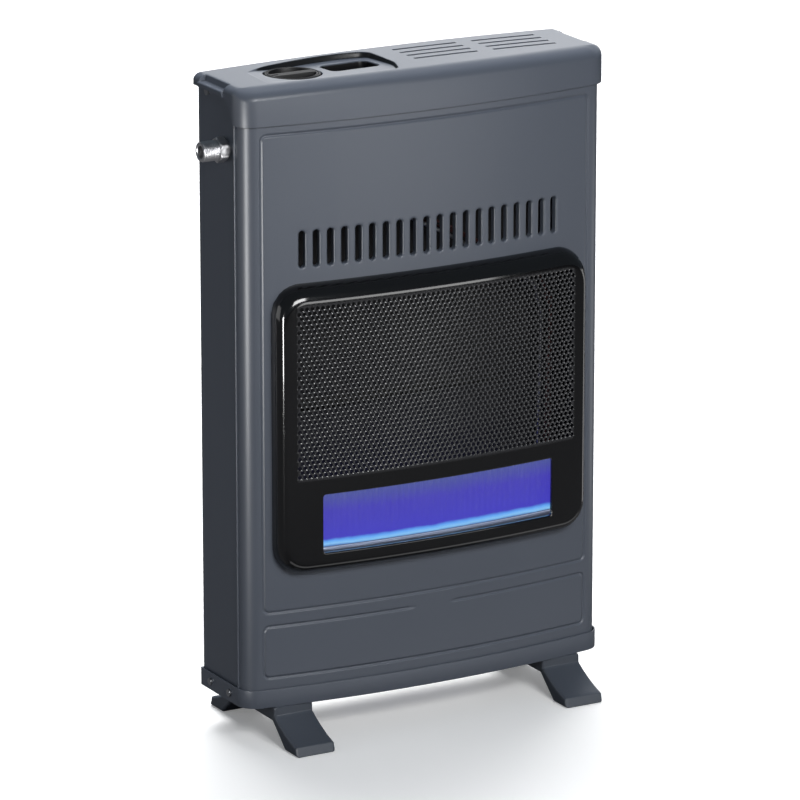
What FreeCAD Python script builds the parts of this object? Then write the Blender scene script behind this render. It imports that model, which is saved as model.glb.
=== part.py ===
"""Slim free-standing gas heater with a blue flame burner, an assembly of its separate pieces.

Working frame of the drawings: X to the right, Y = 0 on the rear panel with the front at minus Y,
Z = 0 on the floor.  Every piece is then moved by origin_x and origin_y, so that the model's own
origin is on the floor under the middle of its box.
"""
import FreeCAD, Part
import math
import os

import Sketcher

doc = FreeCAD.newDocument("gas_heater")
sheet = doc.addObject("Spreadsheet::Sheet", "Sizes")
rows = []
nodes = []


class Size:
    """A length that knows its value and the sheet expression that it comes from."""

    def __init__(self, value, text):
        self.value = float(value)
        self.text = text

    def __add__(self, other):
        other = size(other)
        return Size(self.value + other.value, f"({self.text} + {other.text})")

    def __sub__(self, other):
        other = size(other)
        return Size(self.value - other.value, f"({self.text} - {other.text})")

    def __mul__(self, other):
        other = size(other)
        return Size(self.value * other.value, f"({self.text} * {other.text})")

    def __truediv__(self, other):
        other = size(other)
        return Size(self.value / other.value, f"({self.text} / {other.text})")

    def __neg__(self):
        return Size(-self.value, f"(0 - {self.text})")

    __radd__ = __add__
    __rmul__ = __mul__

    def __rsub__(self, other):
        return size(other) - self


def size(number):
    """A plain number or a Size, as a Size."""
    if isinstance(number, Size):
        return number
    return Size(number, f"({number})")


def root(area):
    """Square root of a Size."""
    return Size(math.sqrt(area.value), f"sqrt({area.text})")


def cell(alias, value):
    """One driving dimension in the sheet, in millimetres, degrees or a count."""
    rows.append(alias)
    address = f"B{len(rows)}"
    sheet.set(f"A{len(rows)}", alias)
    sheet.set(address, str(value))
    sheet.setAlias(address, alias)
    return Size(value, f"Sizes.{alias}")


# Casing
body_width = cell("body_width", 420)
front_chord = cell("front_chord", 94)
front_bow = cell("front_bow", 18)
corner_radius = cell("corner_radius", 18)
casing_sheet = cell("casing_sheet", 1.0)
panel_sheet = cell("panel_sheet", 1.2)
groove_depth = cell("groove_depth", 0.6)
groove_width = cell("groove_width", 3.6)
fit_gap = cell("fit_gap", 0.3)
hole_gap = cell("hole_gap", 0.2)
skirt_height = cell("skirt_height", 19)
panel_rise = cell("panel_rise", 594)
panel_tuck = cell("panel_tuck", 28)
seam_flange = cell("seam_flange", 6)
rear_flange = cell("rear_flange", 14)
base_overhang = cell("base_overhang", 3)
air_slot_depth = cell("air_slot_depth", 28)
air_slot_corner = cell("air_slot_corner", 8)
base_screw_rear = cell("base_screw_rear", 21)
base_screw_front = cell("base_screw_front", 63)
rear_screw_low = cell("rear_screw_low", 40)
rear_screw_high = cell("rear_screw_high", 70)
vent_length = cell("vent_length", 44)
vent_width = cell("vent_width", 4)
vent_pitch = cell("vent_pitch", 14)
vent_rows = cell("vent_rows", 4)
vent_start = cell("vent_start", 10)

# Feet
foot_height = cell("foot_height", 40)
foot_width = cell("foot_width", 45)
foot_length = cell("foot_length", 195)
foot_inset = cell("foot_inset", 50)
foot_block = cell("foot_block", 96)
foot_ridge = cell("foot_ridge", 31)
toe_length = cell("toe_length", 28)
toe_height = cell("toe_height", 10)
toe_slope = cell("toe_slope", 3)
arch_height = cell("arch_height", 24)
arch_width = cell("arch_width", 84)
foot_ramp_radius = cell("foot_ramp_radius", 160)

# Lid
lid_height = cell("lid_height", 38)
lid_crown = cell("lid_crown", 3.4)
lid_sheet = cell("lid_sheet", 1.2)
lid_overhang = cell("lid_overhang", 4.4)
lid_rear = cell("lid_rear", 3)
lid_round = cell("lid_round", 9)
lid_end_wall = cell("lid_end_wall", 12)
sweep_start = cell("sweep_start", 52)
sweep_radius = cell("sweep_radius", 27)
ledge_drop = cell("ledge_drop", 6)
ledge_inset = cell("ledge_inset", 3)
ledge_reach = cell("ledge_reach", 7)
ledge_front = cell("ledge_front", 62)
ledge_rear = cell("ledge_rear", 10)
lid_tab = cell("lid_tab", 20)
cover_screw_drop = cell("cover_screw_drop", 5)

# Louvres in the lid
louvre_length = cell("louvre_length", 74)
louvre_width = cell("louvre_width", 4.4)
louvre_pitch = cell("louvre_pitch", 15)
louvre_rows = cell("louvre_rows", 4)
louvre_start = cell("louvre_start", 6)
louvre_group = cell("louvre_group", 93)
louvre_rear = cell("louvre_rear", 16)

# Control recess, knob and igniter
knob_inset = cell("knob_inset", 83)
knob_y = cell("knob_y", 46)
knob_radius = cell("knob_radius", 29)
knob_gap = cell("knob_gap", 1.2)
knob_height = cell("knob_height", 18)
knob_bar = cell("knob_bar", 11)
knob_wall = cell("knob_wall", 4.5)
knob_hollow = cell("knob_hollow", 9)
knob_travel = cell("knob_travel", 5)
recess_inset = cell("recess_inset", 46)
recess_span = cell("recess_span", 144)
recess_rear = cell("recess_rear", 6)
recess_front = cell("recess_front", 92)
recess_depth = cell("recess_depth", 8)
recess_lift = cell("recess_lift", 1.2)
well_width = cell("well_width", 55)
well_depth = cell("well_depth", 32)
well_step = cell("well_step", 68.5)
well_y = cell("well_y", 41)
well_corner = cell("well_corner", 8)
igniter_step = cell("igniter_step", 81)
igniter_y = cell("igniter_y", 35)
button_radius = cell("button_radius", 6)
button_travel = cell("button_travel", 6)
igniter_radius = cell("igniter_radius", 9)
igniter_length = cell("igniter_length", 46)

# Warm air slots, window and grille
slot_count = cell("slot_count", 20)
slot_pitch = cell("slot_pitch", 15.5)
slot_length = cell("slot_length", 38)
slot_width = cell("slot_width", 6.6)
slot_corner = cell("slot_corner", 3)
slot_drop = cell("slot_drop", 131)
grille_margin = cell("grille_margin", 29)
grille_lift = cell("grille_lift", 123)
grille_height = cell("grille_height", 305)
grille_bulge = cell("grille_bulge", 20)
grille_corner = cell("grille_corner", 30)
grille_round = cell("grille_round", 12)
grille_sheet = cell("grille_sheet", 1.2)
grille_flange = cell("grille_flange", 7)
window_margin = cell("window_margin", 48)
window_lift = cell("window_lift", 23)
window_height = cell("window_height", 62)
mesh_margin = cell("mesh_margin", 20)
mesh_gap = cell("mesh_gap", 19)
mesh_bar = cell("mesh_bar", 7)
mesh_columns = cell("mesh_columns", 12)
mesh_rows = cell("mesh_rows", 7)
glass_thickness = cell("glass_thickness", 4)
glass_lap = cell("glass_lap", 9)
clip_lap = cell("clip_lap", 3)
field_margin = cell("field_margin", 19)
field_corner = cell("field_corner", 6)
upper_field_lift = cell("upper_field_lift", 82)
upper_field_drop = cell("upper_field_drop", 10)
lower_field_lift = cell("lower_field_lift", 12)
lower_field_height = cell("lower_field_height", 55)
lower_field_break = cell("lower_field_break", 51)

# Gas inlet, valve and burner
inlet_rise = cell("inlet_rise", 23)
inlet_depth = cell("inlet_depth", 60)
inlet_reach = cell("inlet_reach", 30)
inlet_radius = cell("inlet_radius", 10.48)
inlet_bore = cell("inlet_bore", 6.5)
inlet_thread = cell("inlet_thread", 18)
hex_width = cell("hex_width", 24)
hex_length = cell("hex_length", 9)
stub_radius = cell("stub_radius", 6.5)
valve_width = cell("valve_width", 36)
valve_height = cell("valve_height", 42)
bonnet_height = cell("bonnet_height", 11)
plug_radius = cell("plug_radius", 8)
spindle_radius = cell("spindle_radius", 3.5)
run_gap = cell("run_gap", 0.08)
plate_drop = cell("plate_drop", 36)
plate_sheet = cell("plate_sheet", 1.5)
shield_setback = cell("shield_setback", 26)
shield_lift = cell("shield_lift", 49)
shield_gap = cell("shield_gap", 27)
burner_inset = cell("burner_inset", 4)
burner_depth = cell("burner_depth", 34)
burner_height = cell("burner_height", 30)
burner_show = cell("burner_show", 7)
burner_setback = cell("burner_setback", 66)
burner_wall = cell("burner_wall", 1.2)
venturi_radius = cell("venturi_radius", 11)
venturi_length = cell("venturi_length", 34)
port_count = cell("port_count", 30)
port_width = cell("port_width", 2.4)
port_length = cell("port_length", 16)
pipe_radius = cell("pipe_radius", 4)
pilot_pipe_radius = cell("pilot_pipe_radius", 2)
lead_radius = cell("lead_radius", 1.5)
pilot_inset = cell("pilot_inset", 29)
screw_radius = cell("screw_radius", 1.9)
screw_head = cell("screw_head", 3.8)
screw_head_height = cell("screw_head_height", 2)
screw_length = cell("screw_length", 9)
wall_hole_radius = cell("wall_hole_radius", 4)
wall_hole_spacing = cell("wall_hole_spacing", 300)
wall_hole_drop = cell("wall_hole_drop", 91)

# Lines that several pieces share
half = body_width / 2
front_radius = (half * half + front_bow * front_bow) / (front_bow * 2)
arc_y = front_radius - front_chord - front_bow
corner_x = half - corner_radius
corner_y = arc_y - root((front_radius - corner_radius) * (front_radius - corner_radius) - corner_x * corner_x)
tray_floor = foot_height + casing_sheet
tray_top = foot_height + skirt_height
lid_low = tray_top + panel_rise
lid_edge = lid_low + lid_height
panel_top = lid_low + panel_tuck
foot_mid = -(front_chord + front_bow) / 2
origin_x = (inlet_reach - ledge_reach) / 2
origin_y = -foot_mid
slot_mid = lid_low - slot_drop
foot_spacing = body_width - foot_inset * 2
knob_x = half - knob_inset
recess_left = half - recess_inset
recess_right = recess_left - recess_span
well_x = knob_x - well_step
igniter_x = knob_x - igniter_step
plate_height = lid_edge - plate_drop
valve_high = plate_height - bonnet_height
valve_low = valve_high - valve_height
inlet_height = valve_low + inlet_rise
shield_low = tray_floor + shield_lift
shield_high = valve_low - shield_gap
grille_width = body_width - grille_margin * 2
grille_low = tray_top + grille_lift
grille_high = grille_low + grille_height
window_width = grille_width - window_margin * 2
window_low = grille_low + window_lift
window_high = window_low + window_height
upper_field_low = tray_top + upper_field_lift
upper_field_high = lid_low - upper_field_drop
lower_field_low = tray_top + lower_field_lift
lower_field_high = lower_field_low + lower_field_height
burner_half = window_width / 2 - burner_inset
burner_top = window_low + burner_show
pilot_x = burner_half - pilot_inset
wall_hole_height = panel_top - wall_hole_drop


def bind(thing, path, value):
    """Ties one property of a document object to the sheet."""
    thing.setExpression(path, size(value).text)


def node(thing, label):
    """Names a finished piece."""
    thing.Label = label
    nodes.append(thing)
    return thing


def block(name, x, y, z):
    """A box between pairs of coordinates."""
    box = doc.addObject("Part::Box", name)
    for side, (low, high) in zip(("Length", "Width", "Height"), (x, y, z)):
        bind(box, side, size(high) - low)
    bind(box, "Placement.Base.x", origin_x + x[0])
    bind(box, "Placement.Base.y", origin_y + y[0])
    bind(box, "Placement.Base.z", z[0])
    return box


def rod(name, axis, at, radius, length):
    """A cylinder from a point along X, Y or Z."""
    bar = doc.addObject("Part::Cylinder", name)
    bind(bar, "Radius", radius)
    bind(bar, "Height", length)
    turn = {"x": (0, 1, 0, 90), "y": (1, 0, 0, -90), "z": (0, 0, 1, 0)}[axis]
    bar.Placement.Rotation = FreeCAD.Rotation(FreeCAD.Vector(*turn[:3]), turn[3])
    bind(bar, "Placement.Base.x", origin_x + at[0])
    bind(bar, "Placement.Base.y", origin_y + at[1])
    bind(bar, "Placement.Base.z", at[2])
    return bar


def fuse(name, *things):
    """Several solids made one."""
    joined = doc.addObject("Part::MultiFuse", name)
    joined.Shapes = list(things)
    joined.Refine = True
    return joined


def cut(name, base, *tools):
    """A solid with others taken out of it."""
    rest = doc.addObject("Part::Cut", name)
    rest.Base = base
    rest.Tool = tools[0] if len(tools) == 1 else fuse(name + "_tools", *tools)
    return rest


def group(name, things):
    """Like pieces kept as separate solids in one group."""
    held = doc.addObject("Part::Compound", name)
    held.Links = list(things)
    return held


def new_body(name):
    """An empty body at the model's origin."""
    body = doc.addObject("PartDesign::Body", name)
    bind(body, "Placement.Base.x", origin_x)
    bind(body, "Placement.Base.y", origin_y)
    return body


def arc_centre(start, end, radius):
    """Centre of the short arc from start to end, on the left of the way for a positive radius."""
    middle = (start + end) * 0.5
    along = end - start
    left = FreeCAD.Vector(-along.y, along.x, 0).normalize()
    rise = math.sqrt(max(radius * radius - (along.Length / 2) ** 2, 0.0))
    return middle + left * math.copysign(rise, radius)


def add_loop(sketch, points):
    """A closed outline of (x, y) corners; (x, y, radius) starts an arc to the next corner."""
    spots = [FreeCAD.Vector(size(point[0]).value, size(point[1]).value, 0) for point in points]
    starts = []
    ends = []
    for index, point in enumerate(points):
        start = spots[index]
        end = spots[(index + 1) % len(points)]
        if len(point) == 2:
            number = sketch.addGeometry(Part.LineSegment(start, end), False)
            starts.append((number, 1))
            ends.append((number, 2))
            continue
        radius = size(point[2])
        centre = arc_centre(start, end, radius.value)
        circle = Part.Circle(centre, FreeCAD.Vector(0, 0, 1), abs(radius.value))
        a, b = (start, end) if radius.value > 0 else (end, start)
        arc = Part.ArcOfCircle(circle, math.atan2(a.y - centre.y, a.x - centre.x),
                               math.atan2(b.y - centre.y, b.x - centre.x))
        number = sketch.addGeometry(arc, False)
        starts.append((number, 1 if radius.value > 0 else 2))
        ends.append((number, 2 if radius.value > 0 else 1))
        rule = sketch.addConstraint(Sketcher.Constraint("Radius", number, abs(radius.value)))
        bind(sketch, f"Constraints[{rule}]", radius if radius.value > 0 else -radius)
    for index, point in enumerate(points):
        following = starts[(index + 1) % len(points)]
        sketch.addConstraint(Sketcher.Constraint("Coincident", *ends[index], *following))
        for kind, value in zip(("DistanceX", "DistanceY"), point[:2]):
            value = size(value)
            rule = sketch.addConstraint(Sketcher.Constraint(kind, -1, 1, *starts[index], value.value))
            bind(sketch, f"Constraints[{rule}]", value)


def add_circle(sketch, x, y, radius):
    """A circle of the sketch, placed and sized from the sheet."""
    x, y, radius = size(x), size(y), size(radius)
    circle = Part.Circle(FreeCAD.Vector(x.value, y.value, 0), FreeCAD.Vector(0, 0, 1), radius.value)
    number = sketch.addGeometry(circle, False)
    for kind, value in (("DistanceX", x), ("DistanceY", y)):
        rule = sketch.addConstraint(Sketcher.Constraint(kind, -1, 1, number, 3, value.value))
        bind(sketch, f"Constraints[{rule}]", value)
    rule = sketch.addConstraint(Sketcher.Constraint("Radius", number, radius.value))
    bind(sketch, f"Constraints[{rule}]", radius)


def draw(body, plane, level, loops=(), circles=()):
    """A sketch on one of the body's planes, level away from it along its normal."""
    sketch = body.newObject("Sketcher::SketchObject", body.Name + "_sketch")
    roles = {feature.Role: feature for feature in body.Origin.OriginFeatures}
    sketch.AttachmentSupport = [(roles[plane], "")]
    sketch.MapMode = "FlatFace"
    bind(sketch, "AttachmentOffset.Base.z", level)
    for points in loops:
        add_loop(sketch, points)
    for circle in circles:
        add_circle(sketch, *circle)
    return sketch


def pad(body, sketch, length):
    """Material from a sketch along its plane's normal."""
    feature = body.newObject("PartDesign::Pad", body.Name + "_pad")
    feature.Profile = sketch
    bind(feature, "Length", length)
    return feature


def pocket(body, sketch, length, along_normal=True):
    """Material taken away from a sketch, along its plane's normal or against it."""
    doc.recompute()
    before = body.Shape.Volume
    feature = body.newObject("PartDesign::Pocket", body.Name + "_pocket")
    feature.Profile = sketch
    feature.Reversed = along_normal
    bind(feature, "Length", length)
    doc.recompute()
    if not body.Shape.Volume < before - 1e-6:
        raise ValueError(f"{body.Name}: a pocket cuts nothing")
    return feature


def rounded(x, y, radius):
    """Outline of a rectangle with rounded corners, between pairs of coordinates."""
    (x0, x1), (y0, y1) = x, y
    return [(x0 + radius, y0), (x1 - radius, y0, radius), (x1, y0 + radius), (x1, y1 - radius, radius),
            (x1 - radius, y1), (x0 + radius, y1, radius), (x0, y1 - radius), (x0, y0 + radius, radius)]


def rectangle(x, y):
    """Outline of a plain rectangle between pairs of coordinates."""
    return [(x[0], y[0]), (x[1], y[0]), (x[1], y[1]), (x[0], y[1])]


def front_corner(offset):
    """Where the corner round meets the bowed front, on an outline offset from the casing's."""
    share = (front_radius + offset) / (front_radius - corner_radius)
    return corner_x * share, arc_y - (arc_y - corner_y) * share


def plan(offset, rear):
    """Plan of the casing with its bowed front, offset outwards, with its rear side at a given Y."""
    side = half + offset
    turn = corner_radius + offset
    x, y = front_corner(size(offset))
    return [(-side, rear), (-side, corner_y, turn), (-x, y, front_radius + offset), (x, y, turn),
            (side, corner_y), (side, rear)]


def front_line(offset, x):
    """Y of the bowed front, offset outwards, at a distance x from the middle."""
    radius = front_radius + offset
    return arc_y - root(radius * radius - x * x)


def bowed_strip(inner, outer, reach):
    """Plan of a sheet that follows the bowed front between two offsets, out to plus and minus reach."""
    return [(-reach, front_line(outer, reach), front_radius + outer), (reach, front_line(outer, reach)),
            (reach, front_line(inner, reach), -(front_radius + inner)), (-reach, front_line(inner, reach))]


def bent_tube(name, points, radius, bend):
    """A tube along straight runs joined by tangent arcs, from points of Sizes."""
    spots = [FreeCAD.Vector(*[size(value).value for value in point]) for point in points]
    edges = []
    here = spots[0]
    for before, corner, after in zip(spots, spots[1:], spots[2:]):
        back = (before - corner).normalize()
        on = (after - corner).normalize()
        turn = math.pi - back.getAngle(on)
        reach = bend.value * math.tan(turn / 2)
        start, end = corner + back * reach, corner + on * reach
        inward = (back + on).normalize()
        middle = corner + inward * (bend.value / math.cos(turn / 2) - bend.value)
        edges.append(Part.LineSegment(here, start).toShape())
        edges.append(Part.Arc(start, middle, end).toShape())
        here = end
    edges.append(Part.LineSegment(here, spots[-1]).toShape())
    path = Part.Wire(edges)
    circle = Part.Circle(spots[0], spots[1] - spots[0], radius.value)
    tube = path.makePipeShell([Part.Wire([circle.toShape()])], True, False)
    section = math.pi * radius.value ** 2
    if abs(tube.Volume - section * path.Length) > 0.02 * section * path.Length:
        raise ValueError(f"{name}: the tube's volume is off")
    piece = doc.addObject("Part::Feature", name)
    piece.Shape = tube
    bind(piece, "Placement.Base.x", origin_x)
    bind(piece, "Placement.Base.y", origin_y)
    return piece


def screws(name, places, axis, direction, length=screw_length):
    """Pan head screws: each head sits on the given point, its shank runs along the given way."""
    made = []
    for index, at in enumerate(places):
        spot = dict(zip("xyz", at))
        head_at = dict(spot)
        shank_at = dict(spot)
        if direction > 0:
            head_at[axis] = spot[axis] - screw_head_height
        else:
            shank_at[axis] = spot[axis] - length
        head = rod(f"{name}_head{index}", axis, [head_at[k] for k in "xyz"], screw_head, screw_head_height)
        shank = rod(f"{name}_shank{index}", axis, [shank_at[k] for k in "xyz"], screw_radius, length)
        made.append(fuse(f"{name}_{index}", head, shank))
    return node(group(name, made), name)


# Base tray: a pressed pan with a low skirt, which the casing stands in
screw_hole = screw_radius + hole_gap
foot_screw_reach = foot_block / 4
foot_screw_spots = [(side * foot_spacing / 2, foot_mid + way * foot_screw_reach)
                    for side in (size(-1), size(1)) for way in (size(-1), size(1))]
tray = new_body("base_tray_body")
pad(tray, draw(tray, "XY_Plane", foot_height, [plan(base_overhang, casing_sheet)]), skirt_height)
pocket(tray, draw(tray, "XY_Plane", tray_floor, [plan(base_overhang - casing_sheet, size(0))]), skirt_height)
pocket(tray, draw(tray, "XY_Plane", foot_height, circles=[(x, y, screw_hole) for x, y in foot_screw_spots]),
       casing_sheet * 2)
air_slot = rounded((-foot_spacing / 4, foot_spacing / 4), 
                   (foot_mid - air_slot_depth / 2, foot_mid + air_slot_depth / 2), air_slot_corner)
pocket(tray, draw(tray, "XY_Plane", foot_height, [air_slot]), casing_sheet * 2)
base_screw_z = foot_height + skirt_height / 2
base_screw_spots = [(-base_screw_rear, base_screw_z), (-base_screw_front, base_screw_z)]
for side in (size(-1), size(1)):
    start = half * side - base_overhang * 2
    pocket(tray, draw(tray, "YZ_Plane", start, circles=[(y, z, screw_hole) for y, z in base_screw_spots]),
           base_overhang * 4)
node(tray, "base_tray")

# Feet: moulded arches, each with a toe before and behind the casing
half_length = foot_length / 2
half_block = foot_block / 2
half_arch = arch_width / 2
for label, side in (("left_foot", size(-1)), ("right_foot", size(1))):
    foot = new_body(label + "_body")
    outline = [(foot_mid - half_length, size(0)), (foot_mid - half_length + toe_length, size(0)),
               (foot_mid - half_arch, arch_height), (foot_mid + half_arch, arch_height),
               (foot_mid + half_length - toe_length, size(0)), (foot_mid + half_length, size(0)),
               (foot_mid + half_length - toe_slope, toe_height, -foot_ramp_radius),
               (foot_mid + half_block, foot_ridge), (foot_mid + half_block, foot_height),
               (foot_mid - half_block, foot_height), (foot_mid - half_block, foot_ridge, -foot_ramp_radius),
               (foot_mid - half_length + toe_slope, toe_height)]
    pad(foot, draw(foot, "YZ_Plane", side * foot_spacing / 2 - foot_width / 2, [outline]), foot_width)
    spots = [(side * foot_spacing / 2, foot_mid + way * foot_screw_reach, screw_hole) for way in (-1, 1)]
    pocket(foot, draw(foot, "XY_Plane", size(0), circles=spots), foot_height * 2)
    node(foot, label)
screws("foot_screws", [(x, y, arch_height) for x, y in foot_screw_spots], "z", 1,
       tray_floor - arch_height + screw_head_height)

# Side panels: flat sheets that stand in the tray, turned in at the rear for the rear panel's screws
inlet_y = -inlet_depth
cover_screw_y = -(ledge_rear + lid_tab / 2)
cover_screw_z = panel_top - cover_screw_drop
rear_screw_heights = [tray_top + rear_screw_low, (tray_top + panel_top) / 2, panel_top - rear_screw_high]
rear_screw_x = half - rear_flange / 2 - casing_sheet / 2
for label, side in (("left_side_panel", size(-1)), ("right_side_panel", size(1))):
    panel = new_body(label + "_body")
    outer = side * half
    inner = side * (half - casing_sheet)
    turned = side * (half - rear_flange)
    outline = [(outer, size(0)), (outer, corner_y + fit_gap), (inner, corner_y + fit_gap),
               (inner, casing_sheet * -2), (turned, casing_sheet * -2), (turned, -casing_sheet),
               (inner, -casing_sheet), (inner, size(0))]
    pad(panel, draw(panel, "XY_Plane", tray_floor, [outline]), panel_top - tray_floor)
    holes = [(y, z, screw_hole) for y, z in base_screw_spots]
    holes.append((cover_screw_y, cover_screw_z, screw_hole))
    if side.value < 0:
        holes.append((inlet_y, inlet_height, stub_radius + hole_gap))
    pocket(panel, draw(panel, "YZ_Plane", outer - casing_sheet * 2, circles=holes), casing_sheet * 4)
    holes = [(side * rear_screw_x, z, screw_hole) for z in rear_screw_heights]
    pocket(panel, draw(panel, "XZ_Plane", size(0), circles=holes), casing_sheet * 4)
    node(panel, label)
skirt_face = half + base_overhang
left_places = [(-skirt_face, y, z) for y, z in base_screw_spots]
right_places = [(skirt_face, y, z) for y, z in base_screw_spots]
screws("left_base_screws", left_places, "x", 1)
screws("right_base_screws", right_places, "x", -1)

# Rear panel: a flat sheet between the side panels, with two holes to hang it and rows of vents
rear_half = half - casing_sheet
vent_levels = [shield_low + vent_start + vent_pitch * number for number in range(int(vent_rows.value))]
vents = [rectangle((x - vent_length / 2, x + vent_length / 2), (z, z + vent_width))
         for x in (-foot_spacing / 4, size(0), foot_spacing / 4) for z in vent_levels]
holes = [(side * wall_hole_spacing / 2, wall_hole_height, wall_hole_radius) for side in (size(-1), size(1))]
holes += [(side * rear_screw_x, z, screw_hole) for side in (size(-1), size(1)) for z in rear_screw_heights]
rear = new_body("back_panel_body")
rear_outline = rectangle((-rear_half, rear_half), (tray_floor, panel_top))
pad(rear, draw(rear, "XZ_Plane", size(0), [rear_outline, *vents], holes), casing_sheet)
node(rear, "back_panel")
rear_places = [(side * rear_screw_x, size(0), z) for side in (size(-1), size(1)) for z in rear_screw_heights]
screws("back_screws", rear_places, "y", -1)

# Front panel: one bowed sheet turned round both corners, with pressed lines, air slots and an opening
field = half - field_margin


def groove_ring(x, z, corner):
    """Two outlines half a groove width either side of a rounded rectangle."""
    reach = groove_width / 2
    outside = rounded((x[0] - reach, x[1] + reach), (z[0] - reach, z[1] + reach), corner + reach)
    inside = rounded((x[0] + reach, x[1] - reach), (z[0] + reach, z[1] - reach), corner - reach)
    return outside, inside


def bowed_sheet(outer_offset, inner_offset):
    """Plan of the front sheet from seam to seam, between two offsets."""
    ox, oy = front_corner(outer_offset)
    ix, iy = front_corner(inner_offset)
    outer_side, inner_side = half + outer_offset, half + inner_offset
    outer_turn, inner_turn = corner_radius + outer_offset, corner_radius + inner_offset
    return [(-outer_side, corner_y, outer_turn), (-ox, oy, front_radius + outer_offset), (ox, oy, outer_turn),
            (outer_side, corner_y), (inner_side, corner_y, -inner_turn),
            (ix, iy, -(front_radius + inner_offset)), (-ix, iy, -inner_turn), (-inner_side, corner_y)]


front = new_body("front_panel_body")
panel_low = tray_floor
panel_height = panel_top - panel_low
beyond = front_chord + front_bow + grille_bulge
pad(front, draw(front, "XY_Plane", panel_low, [bowed_sheet(size(0), -groove_depth)]), panel_height)
upper = groove_ring((-field, field), (upper_field_low, upper_field_high), field_corner)
pocket(front, draw(front, "XZ_Plane", size(0), list(upper)), beyond)
lower = groove_ring((-field, field), (lower_field_low, lower_field_high), field_corner)
pocket(front, draw(front, "XZ_Plane", size(0), list(lower)), beyond)
pad(front, draw(front, "XY_Plane", panel_low, [bowed_sheet(-groove_depth, -panel_sheet)]), panel_height)
break_half = lower_field_break / 2
bridge = bowed_strip(-panel_sheet, size(0), break_half)
pad(front, draw(front, "XY_Plane", lower_field_high - groove_width, [bridge]), groove_width * 2)
flange_face = half - casing_sheet
flange_inner = flange_face - panel_sheet
flange_root = corner_y - corner_radius / 3
flange_end = corner_y + seam_flange
flanges = [rectangle((side * flange_inner, side * flange_face), (flange_root, flange_end))
           for side in (size(-1), size(1))]
pad(front, draw(front, "XY_Plane", panel_low, flanges), panel_height)
first_slot = (slot_count - 1) * slot_pitch / -2
slot = rounded((first_slot - slot_width / 2, first_slot + slot_width / 2),
               (slot_mid - slot_length / 2, slot_mid + slot_length / 2), slot_corner)
slot_sketch = draw(front, "XZ_Plane", size(0), [slot])
slot_cut = pocket(front, slot_sketch, beyond)
row = front.newObject("PartDesign::LinearPattern", "slot_row")
row.Originals = [slot_cut]
row.Direction = (slot_sketch, ["H_Axis"])
bind(row, "Length", (slot_count - 1) * slot_pitch)
bind(row, "Occurrences", slot_count)
front.Tip = row
grille_half = grille_width / 2
opening_half = grille_half + fit_gap
opening = rounded((-opening_half, opening_half), (grille_low - fit_gap, grille_high + fit_gap),
                  grille_corner + fit_gap)
pocket(front, draw(front, "XZ_Plane", size(0), [opening]), beyond)
node(front, "front_panel")


# Grille: a bulging enamelled cover hooked behind the opening, with rows of openings and the flame window
tolerance = 0.01
mostly = 0.9


def edge_names(shape, test):
    """Names of the edges whose middle point passes a test."""
    names = []
    for index, edge in enumerate(shape.Edges):
        middle = edge.valueAt((edge.FirstParameter + edge.LastParameter) / 2)
        if test(edge, middle):
            names.append(f"Edge{index + 1}")
    return names


def bulge_form(name, inset):
    """The grille's pillow form, drawn in by a wall."""
    form = new_body(name)
    reach = grille_half - inset
    rise = grille_high - grille_low - inset * 2
    strip = bowed_strip(-panel_sheet - fit_gap - grille_sheet, grille_bulge - inset, reach)
    last = pad(form, draw(form, "XY_Plane", grille_low + inset, [strip]), rise)
    doc.recompute()
    names = edge_names(last.Shape, lambda edge, at: abs(abs(at.x) - reach.value) < tolerance
                       and abs(edge.tangentAt(edge.FirstParameter).y) > mostly)
    corners = form.newObject("PartDesign::Fillet", name + "_corners")
    corners.Base = (last, names)
    bind(corners, "Radius", grille_corner - inset)
    doc.recompute()
    limit = front_radius.value + grille_bulge.value - inset.value
    names = edge_names(corners.Shape, lambda edge, at:
                       abs(math.hypot(at.x, at.y - arc_y.value) - limit) < tolerance)
    brow = form.newObject("PartDesign::Fillet", name + "_brow")
    brow.Base = (corners, names)
    bind(brow, "Radius", grille_round - inset)
    doc.recompute()
    return form


lip = new_body("grille_lip")
lip_reach = grille_half + grille_flange
lip_back = panel_sheet + fit_gap
lip_strip = bowed_strip(-lip_back - grille_sheet, -lip_back, lip_reach)
pad(lip, draw(lip, "XY_Plane", grille_low - grille_flange, [lip_strip]),
    grille_high - grille_low + grille_flange * 2)
inside = rounded((grille_sheet - grille_half, grille_half - grille_sheet),
                 (grille_low + grille_sheet, grille_high - grille_sheet), grille_corner - grille_sheet)
pocket(lip, draw(lip, "XZ_Plane", size(0), [inside]), beyond)
shell = cut("grille_shell", bulge_form("grille_outer", size(0)), bulge_form("grille_inner", grille_sheet))
window_half = window_width / 2
through = (-beyond - grille_bulge, -front_chord)
window_cut = block("window_cut", (-window_half, window_half), through, (window_low, window_high))
mesh_half = grille_half - mesh_margin
mesh_low = window_high + mesh_gap
mesh_high = grille_high - mesh_margin
column_pitch = (mesh_half * 2 + mesh_bar) / mesh_columns
row_pitch = (mesh_high - mesh_low + mesh_bar) / mesh_rows
column_cuts = [block(f"mesh_column{number}", (column_pitch * number - mesh_half,
                                              column_pitch * (number + 1) - mesh_half - mesh_bar),
                     through, (mesh_low, mesh_high)) for number in range(int(mesh_columns.value))]
row_bars = [block(f"mesh_row{number}", (-mesh_half, mesh_half), through,
                  (mesh_low + row_pitch * number - mesh_bar, mesh_low + row_pitch * number))
            for number in range(1, int(mesh_rows.value))]
mesh_cut = cut("mesh_cut", group("mesh_column_cuts", column_cuts), group("mesh_row_bars", row_bars))
covered = fuse("grille_with_lip", shell, lip)
node(cut("grille", cut("windowed_grille", covered, window_cut), mesh_cut), "front_grille")

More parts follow.
